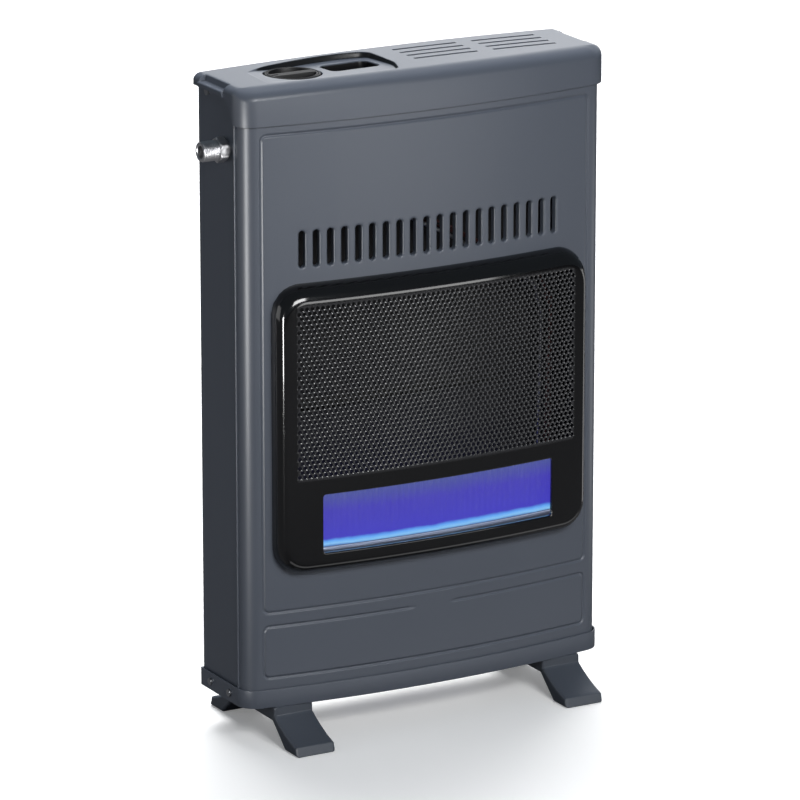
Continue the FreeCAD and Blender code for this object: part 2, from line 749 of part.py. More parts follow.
# Flame window: a bent pane of ceramic glass behind the grille's window
glass = new_body("window_glass_body")
glass_front = grille_bulge - grille_sheet - fit_gap
pad(glass, draw(glass, "XY_Plane", window_low - glass_lap,
                [bowed_strip(glass_front - glass_thickness, glass_front, window_half + glass_lap)]),
    window_high - window_low + glass_lap * 2)
node(glass, "window_glass")


def mirrored(side, near, far):
    """A pair of X, in rising order, on the left or the right."""
    return (near, far) if side > 0 else (-far, -near)


def bowed_segment(inner, outer, x0, x1):
    """Plan of a piece that follows the bowed front between two offsets, from x0 to x1."""
    return [(x0, front_line(outer, x0), front_radius + outer), (x1, front_line(outer, x1)),
            (x1, front_line(inner, x1), -(front_radius + inner)), (x0, front_line(inner, x0))]


# Glass clips: strips behind the pane's ends, stepped forward to the grille beside it
glass_rear = glass_front - glass_thickness
clip_face = glass_rear - fit_gap
glass_half = window_half + glass_lap
clip_low = window_low - glass_lap / 2
clip_height = window_high - window_low + glass_lap
for label, side in (("left_glass_clip", -1), ("right_glass_clip", 1)):
    clip = new_body(label + "_body")
    near, gap_edge, far = glass_half - clip_lap, glass_half + fit_gap, glass_half + glass_lap
    for x0, outer in ((near, clip_face), (gap_edge, glass_front)):
        segment = bowed_segment(clip_face - grille_sheet, outer, *mirrored(side, x0, far))
        pad(clip, draw(clip, "XY_Plane", clip_low, [segment]), clip_height)
    node(clip, label)


# Lid: a pressed cap with a crowned top, low end walls with a grip ledge, louvres and a control recess
def lid_form(name, inset, low):
    """The lid's outer form, drawn in by a wall."""
    form = new_body(name)
    top = lid_edge - inset
    crest = lid_crown + lid_round
    pad(form, draw(form, "XY_Plane", low, [plan(lid_overhang - inset, lid_rear - inset)]), top + crest - low)
    side = half + lid_overhang + lid_round
    arch_radius = (side * side + lid_crown * lid_crown) / (lid_crown * 2)
    arch = [(side, top), (side, top + crest * 2), (-side, top + crest * 2), (-side, top, -arch_radius)]
    last = pocket(form, draw(form, "XZ_Plane", -lid_rear * 2, [arch]), front_chord * 2)
    names = edge_names(last.Shape, lambda edge, at: at.z > top.value - tolerance
                       and at.y < lid_rear.value - inset.value - tolerance)
    rounds = form.newObject("PartDesign::Fillet", name + "_rounds")
    rounds.Base = (last, names)
    bind(rounds, "Radius", lid_round - inset)
    doc.recompute()
    return form


def common(name, base, tool):
    """What two solids share."""
    shared = doc.addObject("Part::Common", name)
    shared.Base = base
    shared.Tool = tool
    return shared


def prism_x(name, x, outline):
    """A body with a side view outline in (Y, Z), between two X."""
    form = new_body(name)
    pad(form, draw(form, "YZ_Plane", x[0], [outline]), size(x[1]) - x[0])
    return form


lid_side = half + lid_overhang
lid_peak = lid_edge + lid_crown + lid_round
wall_low = lid_edge - lid_end_wall
lid_outer = lid_form("lid_outer", size(0), lid_low)
lid_inner = lid_form("lid_inner", lid_sheet, lid_low - lid_round)
sweep = prism_x("lid_sweep", (-lid_side - lid_round, lid_side + lid_round),
                [(lid_rear * 2, lid_low - lid_sheet), (corner_y, lid_low - lid_sheet),
                 (corner_y, lid_low, -sweep_radius), (-sweep_start, wall_low), (lid_rear * 2, wall_low)])
ledge_top = lid_edge - ledge_drop
ledge_low = ledge_top - lid_sheet
riser_out = half - ledge_inset
riser_in = riser_out - lid_sheet
ledge_span = (-ledge_front, -ledge_rear)
tab_out = half - casing_sheet
tab_in = tab_out - lid_sheet
tab_span = (-ledge_rear - lid_tab, -ledge_rear)
tab_low = cover_screw_z - lid_tab / 2
notches = []
ledges = []
tab_holes = []
for side, word in ((-1, "left"), (1, "right")):
    notches.append(block(f"{word}_notch", mirrored(side, riser_out, lid_side + lid_round), ledge_span,
                         (wall_low - lid_sheet, lid_peak)))
    ledges.append(block(f"{word}_ledge", mirrored(side, riser_in, half + ledge_reach), ledge_span,
                        (ledge_low, ledge_top)))
    riser = block(f"{word}_riser_block", mirrored(side, riser_in, riser_out), ledge_span,
                  (ledge_low, lid_peak))
    ledges.append(common(f"{word}_riser", riser, lid_outer))
    ledges.append(block(f"{word}_tab", mirrored(side, tab_in, tab_out), tab_span, (tab_low, ledge_top)))
    hole_start = mirrored(side, tab_in, tab_out)[0] - lid_sheet
    tab_holes.append(rod(f"{word}_tab_hole", "x", (hole_start, cover_screw_y, cover_screw_z), screw_hole,
                         lid_sheet * 4))
floor_rear = lid_edge + lid_crown - recess_depth
floor_front = lid_edge + recess_lift
pan_block = prism_x("pan_block", (-recess_left - lid_sheet, -recess_right + lid_sheet),
                    [(lid_sheet - recess_rear, lid_peak), (lid_sheet - recess_rear, floor_rear - lid_sheet),
                     (-recess_front - lid_sheet, floor_front - lid_sheet),
                     (-recess_front - lid_sheet, lid_peak)])
pan = common("pan", pan_block, lid_outer)
recess = prism_x("recess", (-recess_left, -recess_right),
                 [(-recess_rear, lid_peak), (-recess_rear, floor_rear), (-recess_front, floor_front),
                  (-recess_front, lid_peak)])
well_body = new_body("well_cut")
well = rounded((-well_x - well_width / 2, -well_x + well_width / 2),
               (-well_y - well_depth / 2, -well_y + well_depth / 2), well_corner)
pad(well_body, draw(well_body, "XY_Plane", lid_low, [well]), lid_peak - lid_low)
knob_hole = rod("knob_hole", "z", (-knob_x, -knob_y, lid_low), knob_radius + knob_gap, lid_peak - lid_low)
louvres = []
for set_number in range(2):
    for number in range(int(louvre_rows.value)):
        x = louvre_start + louvre_group * set_number
        y = -louvre_rear - louvre_pitch * number
        louvres.append(block(f"louvre_{set_number}_{number}", (x, x + louvre_length),
                             (y - louvre_width / 2, y + louvre_width / 2), (lid_low, lid_peak)))
cap = cut("lid_cap", cut("lid_hollow", lid_outer, lid_inner), sweep, *notches)
lid_whole = fuse("lid_whole", cap, pan, *ledges)
node(cut("lid", lid_whole, recess, well_body, knob_hole, *louvres, *tab_holes), "top_cover")
screws("left_cover_screw", [(-half, cover_screw_y, cover_screw_z)], "x", 1)
screws("right_cover_screw", [(half, cover_screw_y, cover_screw_z)], "x", -1)

# Heat shield: a plate across the casing in front of the rear panel, turned forward against the sides
shield_face = -shield_setback
shield_flange = cell("shield_flange", 20)
shield_plate = block("shield_plate", (-rear_half, rear_half), (shield_face, shield_face + casing_sheet),
                     (shield_low, shield_high))
shield_sides = [block(f"shield_side{side}", mirrored(side, rear_half - casing_sheet, rear_half),
                      (shield_face - shield_flange, shield_face), (shield_low, shield_high))
                for side in (-1, 1)]
node(fuse("shield", shield_plate, *shield_sides), "heat_shield")

# Flame reflector: a bright channel behind the flame, its edges turned back to the heat shield
reflector_inset = cell("reflector_inset", 5)
reflector_lift = cell("reflector_lift", 10)
reflector_height = cell("reflector_height", 108)
reflector_depth = cell("reflector_depth", 10)
reflector_half = burner_half - reflector_inset
reflector_low = burner_top + reflector_lift
reflector_high = reflector_low + reflector_height
reflector_face = shield_face - reflector_depth
reflector_x = (-reflector_half, reflector_half)
channel = [block("reflector_face", reflector_x, (reflector_face, reflector_face + casing_sheet),
                 (reflector_low, reflector_high)),
           block("reflector_foot", reflector_x, (reflector_face, shield_face),
                 (reflector_low, reflector_low + casing_sheet)),
           block("reflector_head", reflector_x, (reflector_face, shield_face),
                 (reflector_high - casing_sheet, reflector_high))]
node(fuse("reflector", *channel), "flame_reflector")

# Deflector: a sloping plate on the heat shield that turns the warm air out through the slots
deflector_left = cell("deflector_left", 40)
deflector_fall = cell("deflector_fall", 19)
deflector_front = cell("deflector_front", 92)
flange_height = cell("flange_height", 15)
deflector_right = cell("deflector_right", 25)
node(prism_x("deflector", (-deflector_left, half - deflector_right),
             [(shield_face, shield_high - flange_height), (shield_face, shield_high),
              (shield_face - casing_sheet, shield_high), (-deflector_front, shield_high - deflector_fall),
              (-deflector_front, shield_high - deflector_fall - casing_sheet),
              (shield_face - casing_sheet, shield_high - casing_sheet * 2),
              (shield_face - casing_sheet, shield_high - flange_height)]), "top_deflector")

# Burner: a box with a row of flame ports and a mixing tube at its left end
burner_y = -burner_setback
burner_low = burner_top - burner_height
burner_mid = burner_low + burner_height / 2
burner_span = (burner_y - burner_depth / 2, burner_y + burner_depth / 2)
box = block("burner_box", (-burner_half, burner_half), burner_span, (burner_low, burner_top))
room = block("burner_room", (burner_wall - burner_half, burner_half - burner_wall),
             (burner_span[0] + burner_wall, burner_span[1] - burner_wall),
             (burner_low + burner_wall, burner_top - burner_wall))
mixing = rod("mixing_tube", "x", (-burner_half - venturi_length, burner_y, burner_mid), venturi_radius,
             venturi_length + burner_wall)
throat = rod("mixing_bore", "x", (-burner_half - venturi_length * 2, burner_y, burner_mid),
             venturi_radius - burner_wall, venturi_length * 2 + burner_wall * 2)
port_margin = cell("port_margin", 5)
port_pitch = (burner_half - port_margin) * 2 / port_count
port_starts = [port_margin - burner_half + port_pitch * number for number in range(int(port_count.value))]
ports = [block(f"port_{number}", (start, start + port_width),
               (burner_y - port_length / 2, burner_y + port_length / 2),
               (burner_top - burner_wall * 2, burner_top + burner_wall))
         for number, start in enumerate(port_starts)]
node(cut("burner", fuse("burner_body", box, mixing), room, throat, *ports), "burner_tube")

# Burner brackets: plates on the heat shield that hold the burner's ends and its injector
bracket_sheet = cell("bracket_sheet", 1.5)
bracket_lap = cell("bracket_lap", 5)
injector_gap = cell("injector_gap", 8)
injector_radius = cell("injector_radius", 5)
bracket_y = (burner_span[0], shield_face)
bracket_z = (burner_low - bracket_lap, burner_top + bracket_lap)
left_plate = block("left_bracket_plate", (-burner_half - bracket_sheet, -burner_half), bracket_y,
                   bracket_z)
left_hole = rod("left_bracket_hole", "x", (-burner_half - bracket_sheet * 2, burner_y, burner_mid),
                venturi_radius + fit_gap, bracket_sheet * 4)
node(cut("left_bracket", left_plate, left_hole), "left_burner_bracket")
right_plate = block("right_bracket", (burner_half, burner_half + bracket_sheet), bracket_y, bracket_z)
node(right_plate, "right_burner_bracket")
injector_plate = -burner_half - venturi_length - injector_gap
injector_tail = cell("injector_tail", 10)
injector_length = cell("injector_length", 18)
injector_collar = cell("injector_collar", 4)
injector_rim = cell("injector_rim", 2)
injector_nose = cell("injector_nose", 15)
injector_back = injector_plate - bracket_sheet
plate = block("injector_plate", (injector_back, injector_plate), bracket_y, bracket_z)
hole = rod("injector_hole", "x", (injector_back - bracket_sheet, burner_y, burner_mid),
           injector_radius + hole_gap, bracket_sheet * 4)
node(cut("injector_carrier", plate, hole), "injector_bracket")
stem = rod("injector_stem", "x", (injector_back - injector_tail, burner_y, burner_mid), injector_radius,
           injector_length)
collar = rod("injector_flange", "x", (injector_back - injector_collar, burner_y, burner_mid),
             injector_radius + injector_rim, injector_collar)
nose = rod("injector_tip", "x", (injector_back, burner_y, burner_mid), injector_radius / 2, injector_nose)
node(fuse("injector", stem, collar, nose), "gas_injector")

# Control plate: a shelf on the rear panel under the lid, which carries the valve and the igniter
plate_inset = cell("plate_inset", 38)
plate_lap = cell("plate_lap", 24)
plate_front = cell("plate_front", 86)
plate_flange = cell("plate_flange", 20)
neck_radius = cell("neck_radius", 7)
neck_wall = cell("neck_wall", 1.5)
igniter_neck_radius = button_radius + neck_wall
plate_left = half - plate_inset
plate_right = igniter_x - plate_lap
plate_top = plate_height + plate_sheet
shelf = block("plate_shelf", (-plate_left, -plate_right), (-plate_front, -casing_sheet),
              (plate_height, plate_top))
hook = block("plate_hook", (-plate_left, -plate_right), (-casing_sheet - plate_sheet, -casing_sheet),
             (plate_height - plate_flange, plate_height))
plate_holes = [rod("valve_neck_hole", "z", (-knob_x, -knob_y, plate_height - plate_sheet),
                   neck_radius + hole_gap, plate_sheet * 4),
               rod("igniter_neck_hole", "z", (-igniter_x, -igniter_y, plate_height - plate_sheet),
                   igniter_neck_radius + hole_gap, plate_sheet * 4)]
node(cut("control_shelf", fuse("control_shelf_blank", shelf, hook), *plate_holes), "control_plate")

# Gas valve: a cast body with a turning plug, a bonnet on top and a spindle that the knob sits on
valve_front = cell("valve_front", 10)
plug_floor = cell("plug_floor", 10)
gas_way_radius = cell("gas_way_radius", 2.5)
bonnet_lap = cell("bonnet_lap", 6)
neck_height = cell("neck_height", 8)
end_play = cell("end_play", 1)
valve_half = valve_width / 2
valve_span = (-inlet_depth - valve_front, valve_half - knob_y)
body_block = block("valve_block", (-knob_x - valve_half, valve_half - knob_x), valve_span,
                   (valve_low, valve_high))
plug_low = valve_low + plug_floor
plug_bore = rod("plug_bore", "z", (-knob_x, -knob_y, plug_low), plug_radius + run_gap,
                valve_high - plug_low + end_play)
node(cut("valve", body_block, plug_bore), "gas_valve")
bonnet_flange = rod("bonnet_flange", "z", (-knob_x, -knob_y, valve_high), neck_radius + bonnet_lap,
                    bonnet_height)
bonnet_neck = rod("bonnet_neck", "z", (-knob_x, -knob_y, plate_height), neck_radius, neck_height)
spindle_bore = rod("spindle_bore", "z", (-knob_x, -knob_y, valve_high - end_play), spindle_radius + run_gap,
                   bonnet_height + neck_height + end_play * 2)
node(cut("bonnet", fuse("bonnet_blank", bonnet_flange, bonnet_neck), spindle_bore), "valve_bonnet")


def hexagon(name, axis, at, across, length):
    """A hexagonal bar from a point along X or Z, measured across its flats."""
    bar = doc.addObject("Part::Prism", name)
    bar.Polygon = 6
    bind(bar, "Circumradius", size(across) / root(size(3)))
    bind(bar, "Height", length)
    turn = FreeCAD.Rotation(FreeCAD.Vector(0, 1, 0), 90) if axis == "x" else FreeCAD.Rotation()
    bar.Placement.Rotation = turn
    bind(bar, "Placement.Base.x", origin_x + at[0])
    bind(bar, "Placement.Base.y", origin_y + at[1])
    bind(bar, "Placement.Base.z", at[2])
    return bar


nut_height = cell("nut_height", 5)
neck_nut = cell("neck_nut", 19)
bonnet_hex = hexagon("bonnet_hex", "z", (-knob_x, -knob_y, plate_top), neck_nut, nut_height)
bonnet_hole = rod("bonnet_nut_hole", "z", (-knob_x, -knob_y, plate_top - end_play), neck_radius + hole_gap,
                  nut_height + end_play * 2)
node(cut("bonnet_ring", bonnet_hex, bonnet_hole), "bonnet_nut")
plug = rod("plug_blank", "z", (-knob_x, -knob_y, plug_low + fit_gap), plug_radius,
           valve_high - plug_low - fit_gap * 2)
socket_low = plug_low + plug_floor
plug_socket = rod("plug_socket", "z", (-knob_x, -knob_y, socket_low), spindle_radius + run_gap,
                  valve_high - socket_low)
plug_port = rod("plug_port", "x", (-knob_x - plug_radius, -knob_y, plug_low + plug_floor / 2), gas_way_radius,
                plug_radius * 2)
node(cut("plug", plug, plug_socket, plug_port), "valve_plug")
knob_top = lid_edge
knob_low = knob_top - knob_height
spindle_low = socket_low + knob_travel + end_play
spindle_top = knob_top - knob_hollow - end_play
spindle = rod("spindle", "z", (-knob_x, -knob_y, spindle_low), spindle_radius, spindle_top - spindle_low)
node(spindle, "valve_spindle")

# Knob: a disc with two finger hollows either side of a grip bar, on the valve's spindle
knob = new_body("control_knob_body")
hollow_radius = knob_radius - knob_wall
bar_half = knob_bar / 2
hollow_x = root(hollow_radius * hollow_radius - bar_half * bar_half)
pad(knob, draw(knob, "XY_Plane", knob_low, circles=[(-knob_x, -knob_y, knob_radius)]), knob_height)
hollows = [[(side * hollow_x - knob_x, side * bar_half - knob_y, hollow_radius),
            (side * hollow_x * -1 - knob_x, side * bar_half - knob_y)] for side in (size(1), size(-1))]
pocket(knob, draw(knob, "XY_Plane", knob_top - knob_hollow, hollows), knob_hollow)
pocket(knob, draw(knob, "XY_Plane", knob_low, circles=[(-knob_x, -knob_y, spindle_radius + hole_gap)]),
       spindle_top - knob_low)
node(knob, "control_knob")


# Knob spring: a coil round the bonnet's neck that lifts the knob after it is pressed
def coil(name, centre, low, high, radius, wire, turns):
    """One unbroken wire in turns about Z, on quarter turn arcs, with its least gap to itself printed."""
    quarters = int(turns * 4)
    steps = range(quarters * 2 + 1)
    base = low.value + wire.value
    climb = (high.value - low.value - wire.value * 2) / (quarters * 2)
    spots = [FreeCAD.Vector(centre[0].value + radius.value * math.cos(step * math.pi / 4),
                            centre[1].value + radius.value * math.sin(step * math.pi / 4),
                            base + climb * step) for step in steps]
    arcs = [Part.Arc(spots[index], spots[index + 1], spots[index + 2]).toShape()
            for index in range(0, quarters * 2, 2)]
    path = Part.Wire(arcs)
    heading = arcs[0].tangentAt(arcs[0].FirstParameter)
    circle = Part.Wire([Part.Circle(spots[0], heading, wire.value).toShape()])
    print(name, "least gap between turns", round(climb * 8 - wire.value * 2, 2), "mm")
    piece = doc.addObject("Part::Feature", name)
    piece.Shape = path.makePipeShell([circle], True, False)
    bind(piece, "Placement.Base.x", origin_x)
    bind(piece, "Placement.Base.y", origin_y)
    return piece


spring_radius = cell("spring_radius", 9)
spring_wire = cell("spring_wire", 0.5)
spring_turns = cell("spring_turns", 3)
spring_low = plate_top + nut_height + fit_gap
spring = coil("spring", (-knob_x, -knob_y), spring_low, knob_low - fit_gap, spring_radius, spring_wire,
              spring_turns.value)
node(spring, "knob_spring")

# Igniter: a piezo unit hung in the control plate, with a nut on top and a push button
igniter_neck = cell("igniter_neck", 11)
igniter_nut_width = cell("igniter_nut_width", 21)
button_depth = cell("button_depth", 12)
button_sink = cell("button_sink", 7)
button_cap = cell("button_cap", 5)
button_rim = cell("button_rim", 2)
igniter_at = (-igniter_x, -igniter_y)
igniter_low = plate_height - igniter_length
room_low = plate_height - button_depth
button_top = lid_edge - button_sink
unit = rod("igniter_unit", "z", (*igniter_at, igniter_low), igniter_radius, igniter_length)
unit_neck = rod("igniter_collar", "z", (*igniter_at, plate_height), igniter_neck_radius, igniter_neck)
button_room = rod("button_room", "z", (*igniter_at, room_low), button_radius + run_gap,
                  button_depth + igniter_neck + end_play)
node(cut("igniter", fuse("igniter_blank", unit, unit_neck), button_room), "igniter_body")
igniter_hex = hexagon("igniter_hex", "z", (*igniter_at, plate_top), igniter_nut_width, nut_height)
igniter_hole = rod("igniter_nut_hole", "z", (*igniter_at, plate_top - end_play),
                   igniter_neck_radius + hole_gap, nut_height + end_play * 2)
node(cut("igniter_ring", igniter_hex, igniter_hole), "igniter_nut")
button_low = room_low + button_travel + end_play
button_stem = rod("button_stem", "z", (*igniter_at, button_low), button_radius, button_top - button_low)
button_head = rod("button_head", "z", (*igniter_at, button_top - button_cap),
                  button_radius + button_rim, button_cap)
node(fuse("button", button_stem, button_head), "igniter_button")

# Gas inlet: a threaded union through the left side with a locknut inside, and the pipe to the valve
stub_length = cell("stub_length", 15)
collar_rim = cell("collar_rim", 2.5)
locknut_width = cell("locknut_width", 17)
union_tip = -half - inlet_reach
hex_start = union_tip + inlet_thread
collar_start = hex_start + hex_length
inlet_at = (inlet_y, inlet_height)
stub_end = stub_length - half
thread = rod("union_thread", "x", (union_tip, *inlet_at), inlet_radius, inlet_thread)
union_hex = hexagon("union_hex", "x", (hex_start, *inlet_at), hex_width, hex_length)
union_collar = rod("union_collar", "x", (collar_start, *inlet_at), stub_radius + collar_rim,
                   -half - collar_start)
stub = rod("union_stub", "x", (-half, *inlet_at), stub_radius, stub_length)
mouth = rod("union_mouth", "x", (union_tip, *inlet_at), inlet_bore, inlet_thread)
through = rod("union_bore", "x", (union_tip, *inlet_at), gas_way_radius, stub_end - union_tip)
node(cut("union", fuse("union_blank", thread, union_hex, union_collar, stub), mouth, through), "inlet_union")
locknut = hexagon("locknut_hex", "x", (casing_sheet - half, *inlet_at), locknut_width, nut_height)
locknut_hole = rod("locknut_hole", "x", (-half, *inlet_at), stub_radius + hole_gap,
                   casing_sheet + nut_height + end_play)
node(cut("locknut", locknut, locknut_hole), "inlet_locknut")
inlet_tube = rod("inlet_tube", "x", (stub_end, *inlet_at), pipe_radius, -knob_x - valve_half - stub_end)
node(inlet_tube, "inlet_pipe")

# Burner pipe: from the valve's outlet down the left side to the injector
pipe_bend = cell("pipe_bend", 8)
pipe_clear = cell("pipe_clear", 22)
pipe_fall = cell("pipe_fall", 62)
pipe_foot = cell("pipe_foot", 33)
outlet_step = cell("outlet_step", 9)
pipe_x = injector_back - pipe_clear
outlet_x = -knob_x - outlet_step
burner_route = [(outlet_x, inlet_y, valve_low), (outlet_x, inlet_y, valve_low - pipe_clear),
                (pipe_x, inlet_y, valve_low - pipe_fall), (pipe_x, inlet_y, burner_mid + pipe_foot),
                (pipe_x, burner_y, burner_mid), (injector_back - injector_tail, burner_y, burner_mid)]
node(bent_tube("burner_tubing", burner_route, pipe_radius, pipe_bend), "burner_pipe")

# Pilot: a small burner, a thermocouple and a spark electrode on one bracket behind the burner
pilot_step = cell("pilot_step", 12)
pilot_reach = cell("pilot_reach", 14)
pilot_lift = cell("pilot_lift", 3)
pilot_lip = cell("pilot_lip", 9)
pilot_radius = cell("pilot_radius", 4)
pilot_rise = cell("pilot_rise", 20)
pilot_drop = cell("pilot_drop", 15)
sensor_radius = cell("sensor_radius", 2)
sensor_rise = cell("sensor_rise", 28)
sensor_drop = cell("sensor_drop", 20)
spark_radius = cell("spark_radius", 2.5)
spark_rise = cell("spark_rise", 18)
spark_drop = cell("spark_drop", 18)
seat_rim = cell("seat_rim", 1.5)
seat_height = cell("seat_height", 2.5)
pilot_y = shield_face - pilot_reach
pilot_shelf = burner_mid + pilot_lift
pilot_top = pilot_shelf + bracket_sheet
sensor_x = pilot_x - pilot_step
spark_x = sensor_x - pilot_step
pilot_pieces = [("pilot_burner", pilot_x, pilot_radius, pilot_rise, pilot_drop),
                ("thermocouple", sensor_x, sensor_radius, sensor_rise, sensor_drop),
                ("spark_electrode", spark_x, spark_radius, spark_rise, spark_drop)]
shelf = block("pilot_shelf", (spark_x - pilot_step, pilot_x + pilot_step), (pilot_y - pilot_lip, shield_face),
              (pilot_shelf, pilot_top))
shelf_holes = [rod(name + "_hole", "z", (x, pilot_y, pilot_shelf - bracket_sheet), radius + hole_gap,
                   bracket_sheet * 4) for name, x, radius, rise, drop in pilot_pieces]
node(cut("pilot_carrier", shelf, *shelf_holes), "pilot_bracket")
for name, x, radius, rise, drop in pilot_pieces:
    shaft = rod(name + "_shaft", "z", (x, pilot_y, pilot_shelf - drop), radius, drop + bracket_sheet + rise)
    seat = rod(name + "_seat", "z", (x, pilot_y, pilot_top), radius + seat_rim, seat_height)
    node(fuse(name + "_whole", shaft, seat), name)

# Pilot pipe, thermocouple lead and ignition lead: from the valve and igniter across behind the air
# slots, down the right side and under the burner to the pilot
lead_bend = cell("lead_bend", 11)
lead_step = cell("lead_step", 7)
lead_rise = cell("lead_rise", 25)
lead_turn = cell("lead_turn", 15)
lead_spread = cell("lead_spread", 3)
run_drop = cell("run_drop", 52)
tap_drop = cell("tap_drop", 15)
pilot_tap = cell("pilot_tap", 4)
sensor_tap = cell("sensor_tap", 16)
cross_y = cell("cross_y", 60)
cross_left = cell("cross_left", 70)
cross_left_drop = cell("cross_left_drop", 37)
cross_mid = cell("cross_mid", 45)
cross_mid_drop = cell("cross_mid_drop", 97)
cross_right = cell("cross_right", 150)
cross_right_drop = cell("cross_right_drop", 162)
drop_inset = cell("drop_inset", 45)
drop_y = cell("drop_y", 50)
drop_start = cell("drop_start", 202)
sensor_shift = cell("sensor_shift", 6)
spark_left_drop = cell("spark_left_drop", 52)
spark_y = cell("spark_y", 52)
spark_right_drop = cell("spark_right_drop", 140)
spark_down_y = cell("spark_down_y", 46)
spark_down_drop = cell("spark_down_drop", 187)
drop_x = half - drop_inset
run_low = burner_top - run_drop


def pilot_lead(name, route, number, radius, end_x, end_z):
    """A lead that ends below the pilot, nested outside the leads with a lower number."""
    down = drop_x + lead_step * number
    low = run_low - pilot_step * number
    turn = drop_x - lead_turn + lead_spread * number
    tail = [(down, pilot_y, low + lead_rise), (turn, pilot_y, low), (end_x, pilot_y, low),
            (end_x, pilot_y, end_z)]
    return node(bent_tube(name + "_run", [*route, *tail], radius, lead_bend), name)


def crossing(tap, shift, down):
    """Points from the valve's underside across behind the slots to the top of the drop on the right."""
    tap_x = outlet_step - knob_x
    tap_y = -knob_y - tap
    y = -cross_y - shift
    high = valve_low + shift
    return [(tap_x, tap_y, valve_low), (tap_x, tap_y, valve_low - tap_drop),
            (shift - cross_left, y, high - cross_left_drop), (cross_mid + shift, y, high - cross_mid_drop),
            (cross_right + shift, y, high - cross_right_drop), (down, -drop_y - shift, high - drop_start)]


pilot_lead("pilot_pipe", crossing(pilot_tap, size(0), drop_x), 0, pilot_pipe_radius, pilot_x,
           pilot_shelf - pilot_drop)
pilot_lead("thermocouple_lead", crossing(sensor_tap, sensor_shift, drop_x + lead_step), 1, lead_radius,
           sensor_x, pilot_shelf - sensor_drop)
spark_route = [(*igniter_at, igniter_low), (*igniter_at, valve_low - spark_left_drop),
               (cross_right, -spark_y, valve_low - spark_right_drop),
               (drop_x + lead_step * 2, -spark_down_y, valve_low - spark_down_drop)]
pilot_lead("ignition_lead", spark_route, 2, lead_radius, spark_x, pilot_shelf - spark_drop)

doc.recompute()
for thing in doc.Objects:
    if "Invalid" in thing.State or "Error" in thing.State:
        raise ValueError(f"{thing.Label}: {thing.State}")
os.makedirs("parts", exist_ok=True)
for piece in nodes:
    shape = piece.Shape
    if shape.isNull() or not shape.isValid():
        raise ValueError(f"{piece.Label}: not a valid shape")
    shape.exportStep(f"parts/{piece.Label}.step")
    print(piece.Label, len(shape.Solids), round(shape.Volume))
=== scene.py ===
import math

import bpy
import numpy as np
from mathutils import Matrix, Vector


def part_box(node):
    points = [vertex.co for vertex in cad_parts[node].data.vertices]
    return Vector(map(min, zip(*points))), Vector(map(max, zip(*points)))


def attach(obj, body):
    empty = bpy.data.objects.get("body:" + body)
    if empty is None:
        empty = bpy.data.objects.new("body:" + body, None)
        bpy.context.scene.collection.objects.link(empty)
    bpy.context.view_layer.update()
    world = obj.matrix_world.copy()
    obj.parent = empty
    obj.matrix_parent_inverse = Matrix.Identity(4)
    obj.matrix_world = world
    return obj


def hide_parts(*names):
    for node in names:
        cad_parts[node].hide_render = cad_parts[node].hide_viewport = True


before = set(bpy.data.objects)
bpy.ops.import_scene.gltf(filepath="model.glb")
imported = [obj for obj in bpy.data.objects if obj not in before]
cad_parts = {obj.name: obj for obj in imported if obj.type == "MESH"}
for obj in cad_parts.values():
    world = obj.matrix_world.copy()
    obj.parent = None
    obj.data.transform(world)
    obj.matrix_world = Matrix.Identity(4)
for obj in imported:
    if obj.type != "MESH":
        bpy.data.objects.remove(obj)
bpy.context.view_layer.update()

# Front panel: one bowed steel sheet turned round both corners, powder coated in anthracite.
# Its lines are pressed in by a little over 1 mm, and its twenty air slots have rims rolled inwards.
# Its upright edges are hemmed against the side panels; it slips into the base tray and under the lid.
MM = 0.001
panel_low, panel_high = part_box("front_panel")
rear_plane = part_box("back_panel")[1][1]
origin = np.array([(panel_low[0] + panel_high[0]) / 2, rear_plane, 0.0])


class Wire:
    """One node socket of a material, on which arithmetic adds math nodes to the same material."""

    def __init__(self, tree, socket):
        self.tree = tree
        self.socket = socket

    def node(self, kind, settings, inputs, output=0):
        """Adds a node of that kind: its settings first, then the values or links of its inputs."""
        made = self.tree.nodes.new(kind)
        for name, value in settings.items():
            setattr(made, name, value)
        for key, value in inputs.items():
            if isinstance(value, Wire):
                self.tree.links.new(value.socket, made.inputs[key])
            else:
                made.inputs[key].default_value = value
        return Wire(self.tree, made.outputs[output])

    def math(self, operation, first, second):
        """A math node of the two values."""
        return self.node("ShaderNodeMath", {"operation": operation}, {0: first, 1: second})

    def __add__(self, other):
        return self.math("ADD", self, other)

    def __sub__(self, other):
        return self.math("SUBTRACT", self, other)

    def __rsub__(self, other):
        return self.math("SUBTRACT", other, self)

    def __mul__(self, other):
        return self.math("MULTIPLY", self, other)

    __radd__ = __add__
    __rmul__ = __mul__


def srgb(red, green, blue):
    """A screen colour from 0 to 255 as linear light: a straight foot, and above it a power of 2.4."""
    foot_end = 0.04045
    foot_slope = 12.92
    lift = 0.055
    screen = np.array([red, green, blue]) / 255
    return (*np.where(screen > foot_end, ((screen + lift) / (1 + lift)) ** 2.4, screen / foot_slope), 1.0)


def new_material(name):
    """A new material with the wire of its object place and its main shader."""
    material = bpy.data.materials.new(name)
    material.use_nodes = True
    tree = material.node_tree
    place = tree.nodes.new("ShaderNodeTexCoord")
    return material, Wire(tree, place.outputs["Object"]), tree.nodes["Principled BSDF"]


def feed(shader, inputs):
    """Sets or links inputs of a material's main shader."""
    for key, value in inputs.items():
        if isinstance(value, Wire):
            value.tree.links.new(value.socket, shader.inputs[key])
        else:
            shader.inputs[key].default_value = value


def noise(place, scale, detail):
    """The wire of a noise over the object, in turns per metre."""
    return place.node("ShaderNodeTexNoise", {}, {"Vector": place, "Scale": scale, "Detail": detail})


